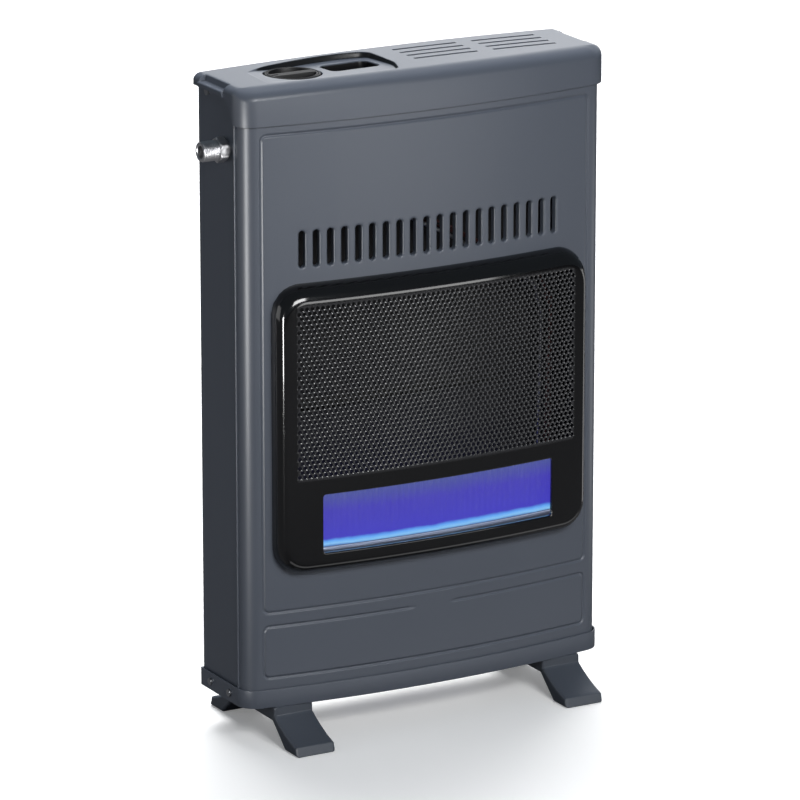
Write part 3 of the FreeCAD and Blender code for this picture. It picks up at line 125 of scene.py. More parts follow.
def blend(way, start, end):
    """The wire of a colour that goes from start to end as the way goes from 0 to 1."""
    return way.node("ShaderNodeMix", {"data_type": "RGBA"}, {0: way, 6: start, 7: end}, output=2)


def finish(name, dark, light, cloud, grain, rough, bump, metallic=0.0, coat=0.0, painted_tone=None):
    """A finish whose two tones mix by a cloud and a fine grain, each in turns per metre.

    Rough is the least roughness and its spread. With a painted tone, the tones go over to it
    by the mesh's own shade attribute: painted shade where that tone is dark, a painted highlight where it is
    light."""
    cloud_share = 0.6
    grain_depth = 0.2 * MM
    coat_rough = 0.05
    material, place, shader = new_material(name)
    wide = noise(place, cloud, detail=3.0)
    fine = noise(place, grain, detail=2.0)
    tone = blend(wide * cloud_share + fine * (1 - cloud_share), dark, light)
    # The painted tone paints light into the colour: painted shade where it is darker, a painted highlight where
    # it is lighter.
    if painted_tone:
        shade = place.node("ShaderNodeAttribute", {"attribute_name": "shade"}, {}, output=2)
        tone = blend(shade, tone, painted_tone)
    relief = fine.node("ShaderNodeBump", {}, {"Height": fine, "Strength": bump, "Distance": grain_depth})
    feed(shader, {"Base Color": tone, "Roughness": wide * rough[1] + rough[0], "Normal": relief,
                  "Metallic": metallic, "Coat Weight": coat, "Coat Roughness": coat_rough})
    return material


def grid_faces(rows, columns, wrap=False):
    """The four corners of each cell in an array of rows by columns points.

    Wrap joins the last column to the first."""
    index = np.arange(rows * columns).reshape(rows, columns)
    if wrap:
        index = np.concatenate([index, index[:, :1]], axis=1)
    corners = [index[:-1, :-1], index[:-1, 1:], index[1:, 1:], index[1:, :-1]]
    return np.stack(corners, axis=-1).reshape(-1, 4)


def surface(points, wrap=False, turned=False):
    """An array of points, rows by columns by three, as a block of corners and faces."""
    faces = grid_faces(points.shape[0], points.shape[1], wrap)
    return points.reshape(-1, 3), faces[:, ::-1] if turned else faces


def piece(name, blocks, material, body="casing", sharp=35, shade=None):
    """One object from blocks of points in millimetres.

    Points that are equal to a micrometre join, and cells with equal corners close up.
    Shade gives each point's value of the shade attribute, which places painted shade or a painted highlight."""
    points = np.concatenate([block[0] for block in blocks])
    starts = np.cumsum([0] + [len(block[0]) for block in blocks[:-1]])
    faces = np.concatenate([block[1] + start for block, start in zip(blocks, starts)])
    places, index = np.unique(np.round(points, 3), axis=0, return_inverse=True)
    faces = index.reshape(-1)[faces]
    keep = faces != np.roll(faces, 1, axis=1)
    whole = keep.sum(axis=1) > 2
    faces = faces[whole]
    keep = keep[whole]
    sides = keep.sum(axis=1)
    mesh = bpy.data.meshes.new(name)
    mesh.vertices.add(len(places))
    mesh.vertices.foreach_set("co", (places * MM + origin).ravel())
    mesh.loops.add(int(sides.sum()))
    mesh.loops.foreach_set("vertex_index", faces[keep])
    mesh.polygons.add(len(sides))
    mesh.polygons.foreach_set("loop_start", np.cumsum(sides) - sides)
    mesh.update(calc_edges=True)
    mesh.validate()
    mesh.shade_smooth()
    mesh.set_sharp_from_angle(angle=math.radians(sharp))
    mesh.materials.append(material)
    if shade:
        mesh.attributes.new("shade", "FLOAT", "POINT").data.foreach_set("value", shade(*places.T))
    made = bpy.data.objects.new(name, mesh)
    bpy.context.scene.collection.objects.link(made)
    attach(made, body)
    return made


def lines(stops, steps):
    """Grid lines through the stops, with each gap cut into even parts about as long as its step."""
    parts = [np.linspace(a, b, max(2, math.ceil((b - a) / step) + 1))[:-1]
             for a, b, step in zip(stops[:-1], stops[1:], steps)]
    return np.concatenate([*parts, stops[-1:]])


def middles(values):
    """The middle of each gap between grid lines."""
    return (values[1:] + values[:-1]) / 2


def inside(values, low, high):
    """The grid lines from low to high, both included."""
    return values[(values > low - 1e-6) & (values < high + 1e-6)]


def outline_distance(x, z, half, middle, high, radius):
    """Signed distance to a rounded rectangle: how far outside its core, less the corner radius."""
    over_x = np.abs(x) - (half - radius)
    over_z = np.abs(z - middle) - (high - radius)
    outside = np.hypot(np.maximum(over_x, 0), np.maximum(over_z, 0))
    return outside + np.minimum(np.maximum(over_x, over_z), 0) - radius


def smooth(low, high, value):
    """0 below low, 1 above high, and three squares less two cubes of the way between."""
    way = np.clip((value - low) / (high - low), 0, 1)
    return way * way * (3 - 2 * way)


panel_depth = 112.0
casing_half = 210.0
bow_radius = 1234.0
bow_centre = bow_radius - panel_depth
corner_radius = 18.0
inner_radius = bow_radius - corner_radius
corner_x = casing_half - corner_radius
corner_y = bow_centre - math.sqrt(inner_radius ** 2 - corner_x ** 2)
arc_end = corner_x * bow_radius / inner_radius


def on_front(x, z, out):
    """The point of the bowed front at x and z, moved out along the bow's radius."""
    aside = x / bow_radius
    forward = np.sqrt(1 - aside ** 2)
    reach = bow_radius + out
    return np.stack(np.broadcast_arrays(aside * reach, bow_centre - forward * reach, z), axis=-1)


def wrapped(rings, outs):
    """Rings of flat places, laid on the bowed front at each ring's height, as a closed block."""
    return surface(on_front(rings[:, :, 0], rings[:, :, 1], outs[:, None]), wrap=True)


groove_half = 2.4
groove_depth = 1.3
field_half = 190.5
field_corner = 6.0
upper_field = (392.0, 251.0)
lower_field = (98.5, 27.5)
break_half = 25.5
break_soft = 1.5
break_above = 110.0


def pressed(x, z):
    """How deep the lines are pressed: half a cosine wave across each field's outline.

    The lower field's upper line is left out round the middle."""
    fields = [outline_distance(x, z, field_half, *field, field_corner) for field in (upper_field, lower_field)]
    upper, lower = [0.5 + 0.5 * np.cos(np.pi * np.clip(field / groove_half, -1, 1)) for field in fields]
    ends = smooth(break_half - break_soft, break_half + break_soft, np.abs(x))
    return groove_depth * np.maximum(upper, lower * np.where(z > break_above, ends, 1.0))


def hole_outline(points, box, centre, size, radius):
    """Points round a rectangle led to a rounded hole in it.

    They go straight across to its sides, and round its corners by equal angles."""
    off = points - np.array(centre)
    core = np.array(size) - radius
    reach = np.where(off > 0, np.array(box[1]) - centre, np.array(centre) - box[0])
    angle = np.clip((np.abs(off) - core) / (reach - core), 0, 1) * math.pi / 4
    turned = angle.copy()
    on_x = np.isclose(np.abs(off[:, 0]), reach[:, 0])
    turned[:, 0] = np.where(on_x, math.pi / 2 - angle[:, 1], angle[:, 0])
    turned[:, 1] = np.where(on_x, angle[:, 1], math.pi / 2 - angle[:, 0])
    rim = np.sign(off) * (core + radius * np.sin(turned))
    along = np.where(on_x[:, None], [False, True], [True, False]) & (np.abs(off) <= core)
    return np.where(along, off, rim) + centre


def round_box(x, y):
    """The points once round a rectangle of grid lines, anticlockwise."""
    bottom = np.stack([x[:-1], np.full(len(x) - 1, y[0])], axis=-1)
    right = np.stack([np.full(len(y) - 1, x[-1]), y[:-1]], axis=-1)
    top = np.stack([x[:0:-1], np.full(len(x) - 1, y[-1])], axis=-1)
    left = np.stack([np.full(len(y) - 1, x[0]), y[:0:-1]], axis=-1)
    return np.concatenate([bottom, right, top, left])


def rimmed_hole(x, y, centre, size, radius, rim, wall, rings=2):
    """Rings from a rectangle of grid lines to a rounded hole.

    The hole is rolled in by a quarter circle, with a straight wall below it.
    Gives the flat places of the rings and how deep each ring lies."""
    edge = round_box(x, y)
    box = ((x[0], y[0]), (x[-1], y[-1]))
    size = np.array(size)
    wide = hole_outline(edge, box, centre, size + rim, radius + rim)
    flat = [edge + (wide - edge) * step / rings for step in range(rings)]
    turns = np.linspace(0, math.pi / 2, 5)
    shrunk = rim * (1 - np.sin(turns))
    rolled = [hole_outline(edge, box, centre, size + more, radius + more) for more in shrunk]
    depths = [0.0] * rings + [rim * (1 - math.cos(t)) for t in turns] + [rim + wall / 8, rim + wall]
    return np.array(flat + rolled + rolled[-1:] * 2), np.array(depths)


slot_half = 7.75
slot_count = 20
slot_open = 3.4
slot_end = 15.7
slot_mid = 522.0
slot_rim = 2.0
slot_wall = 5.0
band_half = slot_half * slot_count
band_high = slot_end + slot_half
slot_stops = list(np.linspace(-band_half, band_half, slot_count + 1))

plain_half = 181.0
break_reach = 3.5
break_stops = [side * break_half + way * break_reach for side in (-1, 1) for way in (-1, 1)]
inner_stops = sorted(slot_stops + break_stops)
line_step = 0.5
slot_step = 3.9
plain_step = 6.5
panel_x = lines([-arc_end, -plain_half, *inner_stops, plain_half, arc_end],
                [line_step, plain_step, *np.full(len(inner_stops) - 1, slot_step), plain_step, line_step])

sheet_low = 57.0
sheet_high = 657.0
low_lines = [68.0, 80.0]
mid_lines = [116.0, 149.0]
high_lines = [632.0, 646.0]
rim_step = 1.95
band_lines = [slot_mid - band_high, slot_mid - slot_end, slot_mid + slot_end, slot_mid + band_high]
panel_z = lines([sheet_low, *low_lines, *mid_lines, *band_lines, *high_lines, sheet_high],
                [3.0, line_step, 4.0, line_step, 5.0, rim_step, 4.0, rim_step, 5.0, line_step, 2.0])

grille_half = 181.0
grille_low = 182.0
grille_high = 487.0
grille_corner = 30.0
grille_cover = 12.0
grille_middle = (grille_low + grille_high) / 2
grille_tall = (grille_high - grille_low) / 2
grid_x, grid_z = np.meshgrid(panel_x, panel_z)
cell_x = middles(panel_x)
cell_z = middles(panel_z)[:, None]
from_grille = outline_distance(cell_x, cell_z, grille_half, grille_middle, grille_tall, grille_corner)
hidden = from_grille < -grille_cover
hidden |= (np.abs(cell_x) < band_half) & (np.abs(cell_z - slot_mid) < band_high)
front_points, front_faces = surface(on_front(grid_x, grid_z, -pressed(grid_x, grid_z)))
front_blocks = [(front_points, front_faces[~hidden.ravel()])]

turn = np.linspace(math.asin(arc_end / bow_radius), math.pi / 2, 12)[1:]
hem = np.linspace(0, math.pi, 9)[1:]
hem_radius = 1.3
hem_tuck = 2.0
bend = np.concatenate([
    [[arc_end, on_front(arc_end, 0.0, 0.0)[1]]],
    np.stack([corner_x + corner_radius * np.sin(turn), corner_y - corner_radius * np.cos(turn)], axis=-1),
    np.stack([casing_half + hem_radius * np.sin(hem), corner_y + hem_radius * (1 - np.cos(hem))], axis=-1),
    [[casing_half - hem_tuck, corner_y + hem_radius * 2]]])
for side in (-1, 1):
    corner = np.empty((len(panel_z), len(bend), 3))
    corner[:, :, 0] = side * bend[:, 0]
    corner[:, :, 1] = bend[:, 1]
    corner[:, :, 2] = panel_z[:, None]
    front_blocks.append(surface(corner, turned=side < 0))
slot_z = inside(panel_z, slot_mid - band_high, slot_mid + band_high)
for start in slot_stops[:-1]:
    slot_x = inside(panel_x, start, start + slot_half * 2)
    rings, depths = rimmed_hole(slot_x, slot_z, (start + slot_half, slot_mid),
                                (slot_open, slot_end + slot_open), slot_open, slot_rim, slot_wall)
    front_blocks.append(wrapped(rings, -depths))
paint_look = dict(dark=srgb(84, 90, 101), light=srgb(92, 98, 109), cloud=6.0, grain=900.0, rough=(0.36, 0.06),
                  bump=0.12)
paint = finish("casing_paint", **paint_look)
front_sheet = piece("front_sheet", front_blocks, paint)
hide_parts("front_panel")

# Grille: a deep drawn steel bezel in gloss black enamel, bulging over the panel's opening.
# Its upper part is perforated in staggered rows, its lower part has the window with a folded rim.
# It is held from behind through its flange.
bulge = 20.0
flange_depth = 3.0
face_half = 171.0
face_low = 195.0
face_high = 470.0
face_corner = 22.0
mesh_half = 161.0
mesh_low = 286.0
mesh_high = 467.0
mesh_columns = 58
mesh_rows = 38
strip_low = 200.0
window_half = 133.0
window_low = 205.0
window_high = 267.0
window_edge = 2.6
window_corner = 3.0
window_rim = 1.4
window_wall = 3.0
pitch_x = 2 * mesh_half / mesh_columns
pitch_z = (mesh_high - mesh_low) / mesh_rows

column_lines = np.linspace(-mesh_half, mesh_half, mesh_columns * 2 + 1)
row_lines = np.linspace(mesh_low, mesh_high, mesh_rows + 1)
strip_lines = lines([strip_low, window_low - window_edge, window_high + window_edge, mesh_low], [1.3, 4.0, 4.0])
edge = round_box(column_lines, np.concatenate([strip_lines[:-1], row_lines]))
face_middle = (face_low + face_high) / 2
face_tall = (face_high - face_low) / 2
edge_box = ((-mesh_half, strip_low), (mesh_half, mesh_high))
base_ring = hole_outline(edge, edge_box, (0.0, grille_middle), (grille_half, grille_tall), grille_corner)
face_ring = hole_outline(edge, edge_box, (0.0, face_middle), (face_half, face_tall), face_corner)
rise = np.linspace(0, math.pi / 2, 13)
loft = [base_ring + (face_ring - base_ring) * (1 - math.cos(angle)) for angle in rise]
grille_rings = np.array([base_ring, *loft, edge])
grille_outs = np.array([-flange_depth, *(bulge * np.sin(rise)), bulge])
grille_blocks = [wrapped(grille_rings, grille_outs)]

hole_radius = 2.05
hole_sides = 16
hole_chamfer = 0.5
web_depth = 1.6
compass = np.arange(hole_sides) * 2 * math.pi / hole_sides - 3 * math.pi / 4
hole_ring = np.stack([np.cos(compass), np.sin(compass)], axis=-1) * hole_radius
cell_side = np.linspace(-1, 1, hole_sides // 4 + 1)
cell_ring = round_box(cell_side, cell_side) * np.array([pitch_x, pitch_z]) / 2
cell_rings = np.array([cell_ring, hole_ring, hole_ring])
cell_depths = np.array([0.0, hole_chamfer, web_depth])
even_x = -mesh_half + pitch_x * (np.arange(mesh_columns) + 0.5)
odd_x = -mesh_half + pitch_x * (np.arange(mesh_columns - 1) + 1)
row_z = mesh_low + pitch_z * (np.arange(mesh_rows) + 0.5)
centres = np.concatenate([
    np.stack(np.meshgrid(even_x, row_z[0::2]), axis=-1).reshape(-1, 2),
    np.stack(np.meshgrid(odd_x, row_z[1::2]), axis=-1).reshape(-1, 2)])
holes = centres[:, None, None, :] + cell_rings
hole_points = on_front(holes[..., 0], holes[..., 1], bulge - cell_depths[:, None])
hole_faces = grid_faces(len(cell_rings), hole_sides, wrap=True)
hole_starts = np.arange(len(centres))[:, None, None] * len(cell_rings) * hole_sides
grille_blocks.append((hole_points.reshape(-1, 3), (hole_faces + hole_starts).reshape(-1, 4)))
for start in (-mesh_half, mesh_half - pitch_x / 2):
    for low, high in zip(row_lines[1:-1:2], row_lines[2::2]):
        ends = np.meshgrid([start, start + pitch_x / 2], [low, high])
        grille_blocks.append(surface(on_front(*ends, bulge)))

window_end = -column_lines[np.searchsorted(column_lines, -window_half - 2 * window_edge)]
window_x = inside(column_lines, -window_end, window_end)
window_z = inside(strip_lines, window_low - window_edge, window_high + window_edge)
strip_points, strip_faces = surface(on_front(*np.meshgrid(column_lines, strip_lines), bulge))
strip_z = middles(strip_lines)[:, None]
opened = (np.abs(middles(column_lines)) < window_end) & (strip_z > window_z[0]) & (strip_z < window_z[-1])
grille_blocks.append((strip_points, strip_faces[~opened.ravel()]))
rings, depths = rimmed_hole(window_x, window_z, (0.0, (window_low + window_high) / 2),
                            (window_half, (window_high - window_low) / 2), window_corner, window_rim,
                            window_wall, rings=1)
grille_blocks.append(wrapped(rings, bulge - depths))


def painted_web_highlight(x, y, z):
    """Where the grille is perforated, where its thin webs get a painted highlight, a lighter tone: 1 inside
    that field, else 0.
    """
    beside = 2.0
    above = 0.1
    return ((np.abs(x) < mesh_half + beside) & (z > mesh_low - above) & (z < mesh_high + above)).astype(float)


# The webs' lighter tone is a painted highlight, standing in for the light the thin webs catch.
enamel = finish("grille_enamel", srgb(12, 12, 13), srgb(20, 20, 21), cloud=9.0, grain=400.0, rough=(0.1, 0.05),
                bump=0.03, coat=0.3, painted_tone=srgb(58, 58, 60))
grille_shell = piece("grille_shell", grille_blocks, enamel, shade=painted_web_highlight)
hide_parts("front_grille")

# Flame: the sheet of blue flame that stands on the burner's ports behind the window.
# It glows violet blue, with a bright line along its foot and a paler edge.
flame_half = 141.0
flame_low = 207.0
flame_high = 275.0
flame_out = 4.0
flame_ripple = 1.2
ripple_turn = 0.9
flame_flicker = 0.05


def height_way(place, low, high):
    """The wire of a height on the object: 0 at low and 1 at high, in millimetres."""
    level = place.node("ShaderNodeSeparateXYZ", {}, {"Vector": place}, output=2)
    return level.node("ShaderNodeMapRange", {}, {"Value": level, "From Min": low * MM, "From Max": high * MM})


flame_x, flame_z = np.meshgrid(np.linspace(-flame_half, flame_half, 160),
                               np.linspace(flame_low, flame_high, 24))
ripple = flame_ripple * np.sin(flame_x * ripple_turn) * (flame_z - flame_low) / (flame_high - flame_low)
flame_glow, place, shader = new_material("flame_glow")
height = height_way(place, flame_low, flame_high)
flicker = (noise(place, 45.0, detail=2.0) - 0.5) * flame_flicker
ramp = place.tree.nodes.new("ShaderNodeValToRGB")
place.tree.links.new((height + flicker).socket, ramp.inputs["Fac"])
flame_colours = [(0.0, srgb(104, 150, 214)), (0.03, srgb(150, 212, 255)), (0.075, srgb(104, 176, 255)),
                 (0.12, srgb(70, 62, 200)), (0.55, srgb(74, 64, 188)), (0.9, srgb(88, 100, 150)),
                 (1.0, srgb(88, 102, 146))]
for position, colour in flame_colours[1:-1]:
    ramp.color_ramp.elements.new(position).color = colour
ramp.color_ramp.elements[0].color = flame_colours[0][1]
ramp.color_ramp.elements[-1].color = flame_colours[-1][1]
feed(shader, {"Base Color": srgb(10, 10, 30), "Roughness": 0.6,
              "Emission Color": Wire(place.tree, ramp.outputs["Color"]), "Emission Strength": 1.0})
piece("flame_sheet", [surface(on_front(flame_x, flame_z, flame_out + ripple))], flame_glow)

# Burner rail: the polished steel edge in front of the ports, with the flame's light on it painted in as a glow.
# It is rolled to a half round and spot welded to the burner.
rail_low = 198.0
rail_high = 206.6
rail_out = 4.6
rail_round = 1.6
painted_glow_power = 9.0
rail_turn = np.linspace(-math.pi / 2, math.pi / 2, 13)[:, None]
rail_x = np.linspace(-flame_half, flame_half, 80)
rail_z = (rail_low + rail_high) / 2 + (rail_high - rail_low) / 2 * np.sin(rail_turn)
rail_front = on_front(rail_x, rail_z, rail_out + rail_round * np.cos(rail_turn))
rail_steel, place, shader = new_material("rail_steel")
height = height_way(place, rail_low, rail_high)
# The glow is painted light from the flame: an emission that rises sharply towards the rail's top.
lit = blend(height.math("POWER", height, painted_glow_power), srgb(58, 62, 78), srgb(190, 196, 220))
brush = noise(place, 260.0, detail=2.0)
feed(shader, {"Base Color": srgb(120, 124, 134), "Roughness": brush * 0.15 + 0.25, "Metallic": 1.0,
              "Emission Color": lit, "Emission Strength": 0.9})
piece("burner_rail", [surface(rail_front)], rail_steel)

# Lid: a moulded cover with a crowned top, rounded over at the front and round the corners.
# It has eight louvres, a scoop round the controls and a grip ledge at each end.
# It slips over the panels and is held by a screw at each end.
lid_low = 653.0
lid_edge = 691.0
lid_crown = 3.4
lid_out = 4.4
lid_rear = 3.0
lid_half = casing_half + lid_out
lid_corner = corner_radius + lid_out
knob_x = -127.0
knob_y = -46.0
knob_hole = 30.2
knob_field = 32.0
well_x = -58.5
well_y = -41.0
well_size = (27.5, 18.0)
well_margin = 4.0
well_corner = 8.0
scoop_depth = 6.0
scoop_shallow = 0.3
scoop_front = -92.0
scoop_run = 88.0
scoop_left = (-178.0, -118.0)
scoop_fade = 9.0
scoop_wall = 2.6
scoop_soft = 1.4
scoop_end = -16.0
scoop_outline = np.array([[-170.0, -26.0], [-140.0, -11.0], [-110.0, -6.0], [-88.0, -3.0], [-54.0, -2.0],
                          [-28.0, -6.5], [-20.0, -14.0], [-19.0, -66.0], [-30.0, -95.0], [-175.0, -95.0]])


def lid_top(x):
    """Height of the lid's top at x: its edge plus a crown that falls with the square of the way out."""
    return lid_edge + lid_crown * (1 - (x / lid_half) ** 2)


def inner_front(x):
    """Where the lid's flat top ends towards the front: an arc inside the panel's bow by the corner radius."""
    return bow_centre - np.sqrt(inner_radius ** 2 - x ** 2)


def from_wall(x, y):
    """How far a place lies inside the scoop's outline.

    It is the least distance to the sides, rounded at the corners by a soft minimum."""
    ways = np.roll(scoop_outline, -1, axis=0) - scoop_outline
    ins = np.array([((x - start[0]) * way[1] - (y - start[1]) * way[0]) / math.hypot(*way)
                    for start, way in zip(scoop_outline, ways)])
    least = ins.min(axis=0)
    return least - scoop_soft * np.log(np.exp((least - ins) / scoop_soft).sum(axis=0))


def scoop_floor(x, y):
    """Depth of the scoop's floor, which sinks to the rear and runs out to the left and at the lid's front."""
    behind = y - inner_front(np.clip(x, -lid_half, lid_half))
    run_out = smooth(*scoop_left, x) * smooth(0.0, scoop_fade, behind)
    sinking = np.clip((y - scoop_front) / scoop_run, 0, 1)
    return scoop_depth * (scoop_shallow + (1 - scoop_shallow) * sinking) * run_out


def scoop(x, y):
    """Depth of the control scoop: its floor, with a steep wall along its outline."""
    return scoop_floor(x, y) * smooth(0.0, scoop_wall, from_wall(x, y))


def painted_lid_shadow(x, y, z):
    """Where painted shadow darkens the lid: on the scoop's steep wall and down the walls of its holes and
    louvres.
    """
    wall_start = (-0.1, 0.5)
    wall_end = (scoop_wall - 0.4, scoop_wall + 0.8)
    deep_floor = (1.2, 2.4)
    deep_hole = (0.5, 1.5)
    inset = 1.0
    near = from_wall(x, y)
    wall = smooth(*wall_start, near) * (1 - smooth(*wall_end, near)) * smooth(*deep_floor, scoop_floor(x, y))
    sunk = smooth(*deep_hole, lid_top(x) - scoop(x, y) - z)
    flat = np.hypot(x, y - bow_centre) < inner_radius - inset
    flat &= (np.abs(x) < corner_x - inset) & (y < lid_rear - inset)
    return np.where(flat, np.maximum(wall, sunk), 0.0)


louvre_rows = (-16.0, -31.0, -46.0, -61.0)
louvre_spans = ((6.0, 80.0), (99.0, 173.0))
louvre_half = 2.2
louvre_wall = 4.0
wall_step = 0.2
knob_box = np.array([[knob_x, knob_y]]) + [[-knob_field, -knob_field], [knob_field, knob_field]]
well_box = np.array([well_x, well_y]) + np.outer([-1, 1], np.array(well_size) + well_margin)
x_stops = sorted([-corner_x, *knob_box[:, 0], *well_box[:, 0], scoop_end, corner_x,
                  *[end + step for span in louvre_spans for end, way in zip(span, (-1, 1))
                    for step in (0, way * wall_step)]])
y_stops = sorted([corner_y, *knob_box[:, 1], *well_box[:, 1], lid_rear,
                  *[y + way * (louvre_half + step) for y in louvre_rows for way in (-1, 1)
                    for step in (0, wall_step)]])
fine_step = 0.6
plain_lid_step = 1.8
lid_x = lines(x_stops, np.where(np.array(x_stops[:-1]) < scoop_end, fine_step, plain_lid_step))
lid_y = lines(y_stops, np.full(len(y_stops) - 1, fine_step))
top_x, top_y = np.meshgrid(lid_x, lid_y)
mid_x = middles(lid_x)
mid_y = middles(lid_y)[:, None]
cut_out = np.zeros((len(lid_y) - 1, len(lid_x) - 1), bool)
for low, high in (knob_box, well_box):
    cut_out |= (mid_x > low[0]) & (mid_x < high[0]) & (mid_y > low[1]) & (mid_y < high[1])
slit = np.zeros(top_x.shape, bool)
for low, high in louvre_spans:
    for y in louvre_rows:
        slit |= (top_x > low - 1e-6) & (top_x < high + 1e-6) & (np.abs(top_y - y) < louvre_half + 1e-6)
        cut_out |= (mid_x > low) & (mid_x < high) & (np.abs(mid_y - y) < louvre_half)
top_z = lid_top(top_x) - scoop(top_x, top_y) - louvre_wall * slit
lid_points, lid_faces = surface(np.stack([top_x, top_y, top_z], axis=-1))
lid_blocks = [(lid_points, lid_faces[~cut_out.ravel()])]

front_line = inner_front(lid_x)
crescent_y = corner_y + (front_line - corner_y) * np.linspace(1, 0, 12)[:, None]
crescent_x = np.broadcast_to(lid_x, crescent_y.shape)
crescent_z = lid_top(crescent_x) - scoop(crescent_x, crescent_y)
lid_blocks.append(surface(np.stack([crescent_x, crescent_y, crescent_z], axis=-1)))

knob_rim = 1.0
knob_hole_wall = 9.0
well_rim = 1.6
well_wall = 22.0
hole_rings = 20
lid_holes = ((knob_box, (knob_x, knob_y), (knob_hole, knob_hole), knob_hole, knob_rim, knob_hole_wall),
             (well_box, (well_x, well_y), well_size, well_corner, well_rim, well_wall))
for box, *hole in lid_holes:
    rings, depths = rimmed_hole(inside(lid_x, *box[:, 0]), inside(lid_y, *box[:, 1]), *hole, rings=hole_rings)
    level = lid_top(rings[:, :, 0]) - scoop(rings[:, :, 0], rings[:, :, 1]) - depths[:, None]
    lid_blocks.append(surface(np.dstack([rings, level]), wrap=True))

ledge_front = -62.0
ledge_rear = -10.0
ledge_slope = 0.3
corner_turn = np.linspace(0, 1, 14)[1:-1]
front_angle = math.asin(corner_x / inner_radius)
ledge_stops = [ledge_front - ledge_slope, ledge_front, ledge_rear, ledge_rear + ledge_slope]
end_y = np.unique(np.concatenate([lid_y, ledge_stops]))
turned = math.pi / 2 - (math.pi / 2 - front_angle) * corner_turn
right_foot = np.concatenate([
    np.stack([np.full(len(end_y), corner_x), end_y[::-1]], axis=-1),
    np.tile([corner_x, corner_y], (len(turned), 1))])
right_way = np.concatenate([
    np.tile([1.0, 0.0], (len(end_y), 1)), np.stack([np.sin(turned), -np.cos(turned)], axis=-1)])
mirror = np.array([-1.0, 1.0])
front_foot = np.stack([lid_x, front_line], axis=-1)
front_way = (front_foot - [0.0, bow_centre]) / inner_radius
foot_line = np.concatenate([right_foot * mirror, front_foot, right_foot[::-1]])
way_line = np.concatenate([right_way * mirror, front_way, right_way[::-1]])

front_round = 12.0
front_soft = 21.0
end_round = 7.0
end_soft = 9.0
end_wall = 12.0
sweep_y = -52.0
sweep_radius = 27.0
forward = smooth(0.0, 0.95, -way_line[:, 1])
rounding = end_round + (front_round - end_round) * forward
softness = end_soft + (front_soft - end_soft) * forward
y_line = foot_line[:, 1]
on_end = np.isclose(np.abs(way_line[:, 0]), 1.0)
swept = lid_low + np.sqrt(np.clip(sweep_radius ** 2 - np.minimum(y_line - sweep_y, 0) ** 2, 0, None))
bottom = np.where(on_end, np.minimum(swept, lid_edge - end_wall), lid_low)
held = on_end & (y_line > ledge_front - ledge_slope / 3) & (y_line < ledge_rear + ledge_slope / 3)

lip_thick = 0.5
lid_tuck = lid_corner - lid_out - 0.4
flat_rows = np.array([0.0, 0.35, 0.7])
lip_rises = (1.0, 0.4, 0.0, 0.0)
arc = np.linspace(0, math.pi / 2, 9)
plain_reach = np.concatenate([
    np.outer(flat_rows, lid_corner - softness),
    lid_corner - softness + np.outer(np.sin(arc), softness),
    np.outer([lid_corner, lid_corner, lid_corner - lip_thick, lid_tuck], np.ones(len(softness)))])
ledge_out = (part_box("top_cover")[1][0] - origin[0]) / MM - lid_half - 0.05
ledge_wall = 15.0
ledge_drop = 6.0
ledge_nose = lid_corner + ledge_out
ledge_reach = np.array([0.0, 6.0, 12.0, ledge_wall - 0.7, ledge_wall - 0.2, ledge_wall, ledge_wall,
                        ledge_wall + 0.4, ledge_wall + 1.2, ledge_wall + 4.0, lid_corner,
                        ledge_nose - 1.4, ledge_nose - 0.4, ledge_nose, ledge_nose - lip_thick, lid_tuck])
ledge_fall = np.array([0.0, 0.0, 0.0, 0.1, 0.4, 0.9, ledge_drop - 0.9, ledge_drop - 0.3, ledge_drop, ledge_drop,
                       ledge_drop, ledge_drop, ledge_drop + 0.5, ledge_drop + 1.4, ledge_drop + 5.0,
                       ledge_drop + 5.5])
reach = np.where(held, ledge_reach[:, None], plain_reach)
place_x = foot_line[:, 0] + way_line[:, 0] * reach
place_y = foot_line[:, 1] + way_line[:, 1] * reach
crown = lid_top(place_x)
fall = np.concatenate([np.zeros((len(flat_rows), len(rounding))), np.outer(1 - np.cos(arc), rounding)])
plain_z = np.concatenate([crown[:len(fall)] - fall, [bottom + rise for rise in lip_rises]])
level = np.where(held, crown - ledge_fall[:, None], plain_z)
lid_blocks.append(surface(np.stack([place_x, place_y, level], axis=-1)[::-1]))

wall_top = len(fall)
rim_x = np.concatenate([place_x[wall_top::-1, 0], lid_x[1:-1], place_x[:wall_top + 1, -1]])
rim_z = np.concatenate([level[wall_top::-1, 0], lid_top(lid_x[1:-1]), level[:wall_top + 1, -1]])
rear_low = np.full(len(rim_x), lid_edge - end_wall)
rear_wall = np.stack([np.tile(rim_x, (2, 1)), np.full((2, len(rim_x)), lid_rear),
                      np.stack([rear_low, np.maximum(rim_z, rear_low)])], axis=-1)
lid_blocks.append(surface(rear_wall, turned=True))
# The near black tone is painted shadow on the scoop's wall and down the walls of the lid's holes and louvres.
lid_paint = finish("lid_paint", **paint_look, painted_tone=srgb(10, 11, 13))
lid = piece("lid_cover", lid_blocks, lid_paint, sharp=40, shade=painted_lid_shadow)
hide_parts("top_cover")

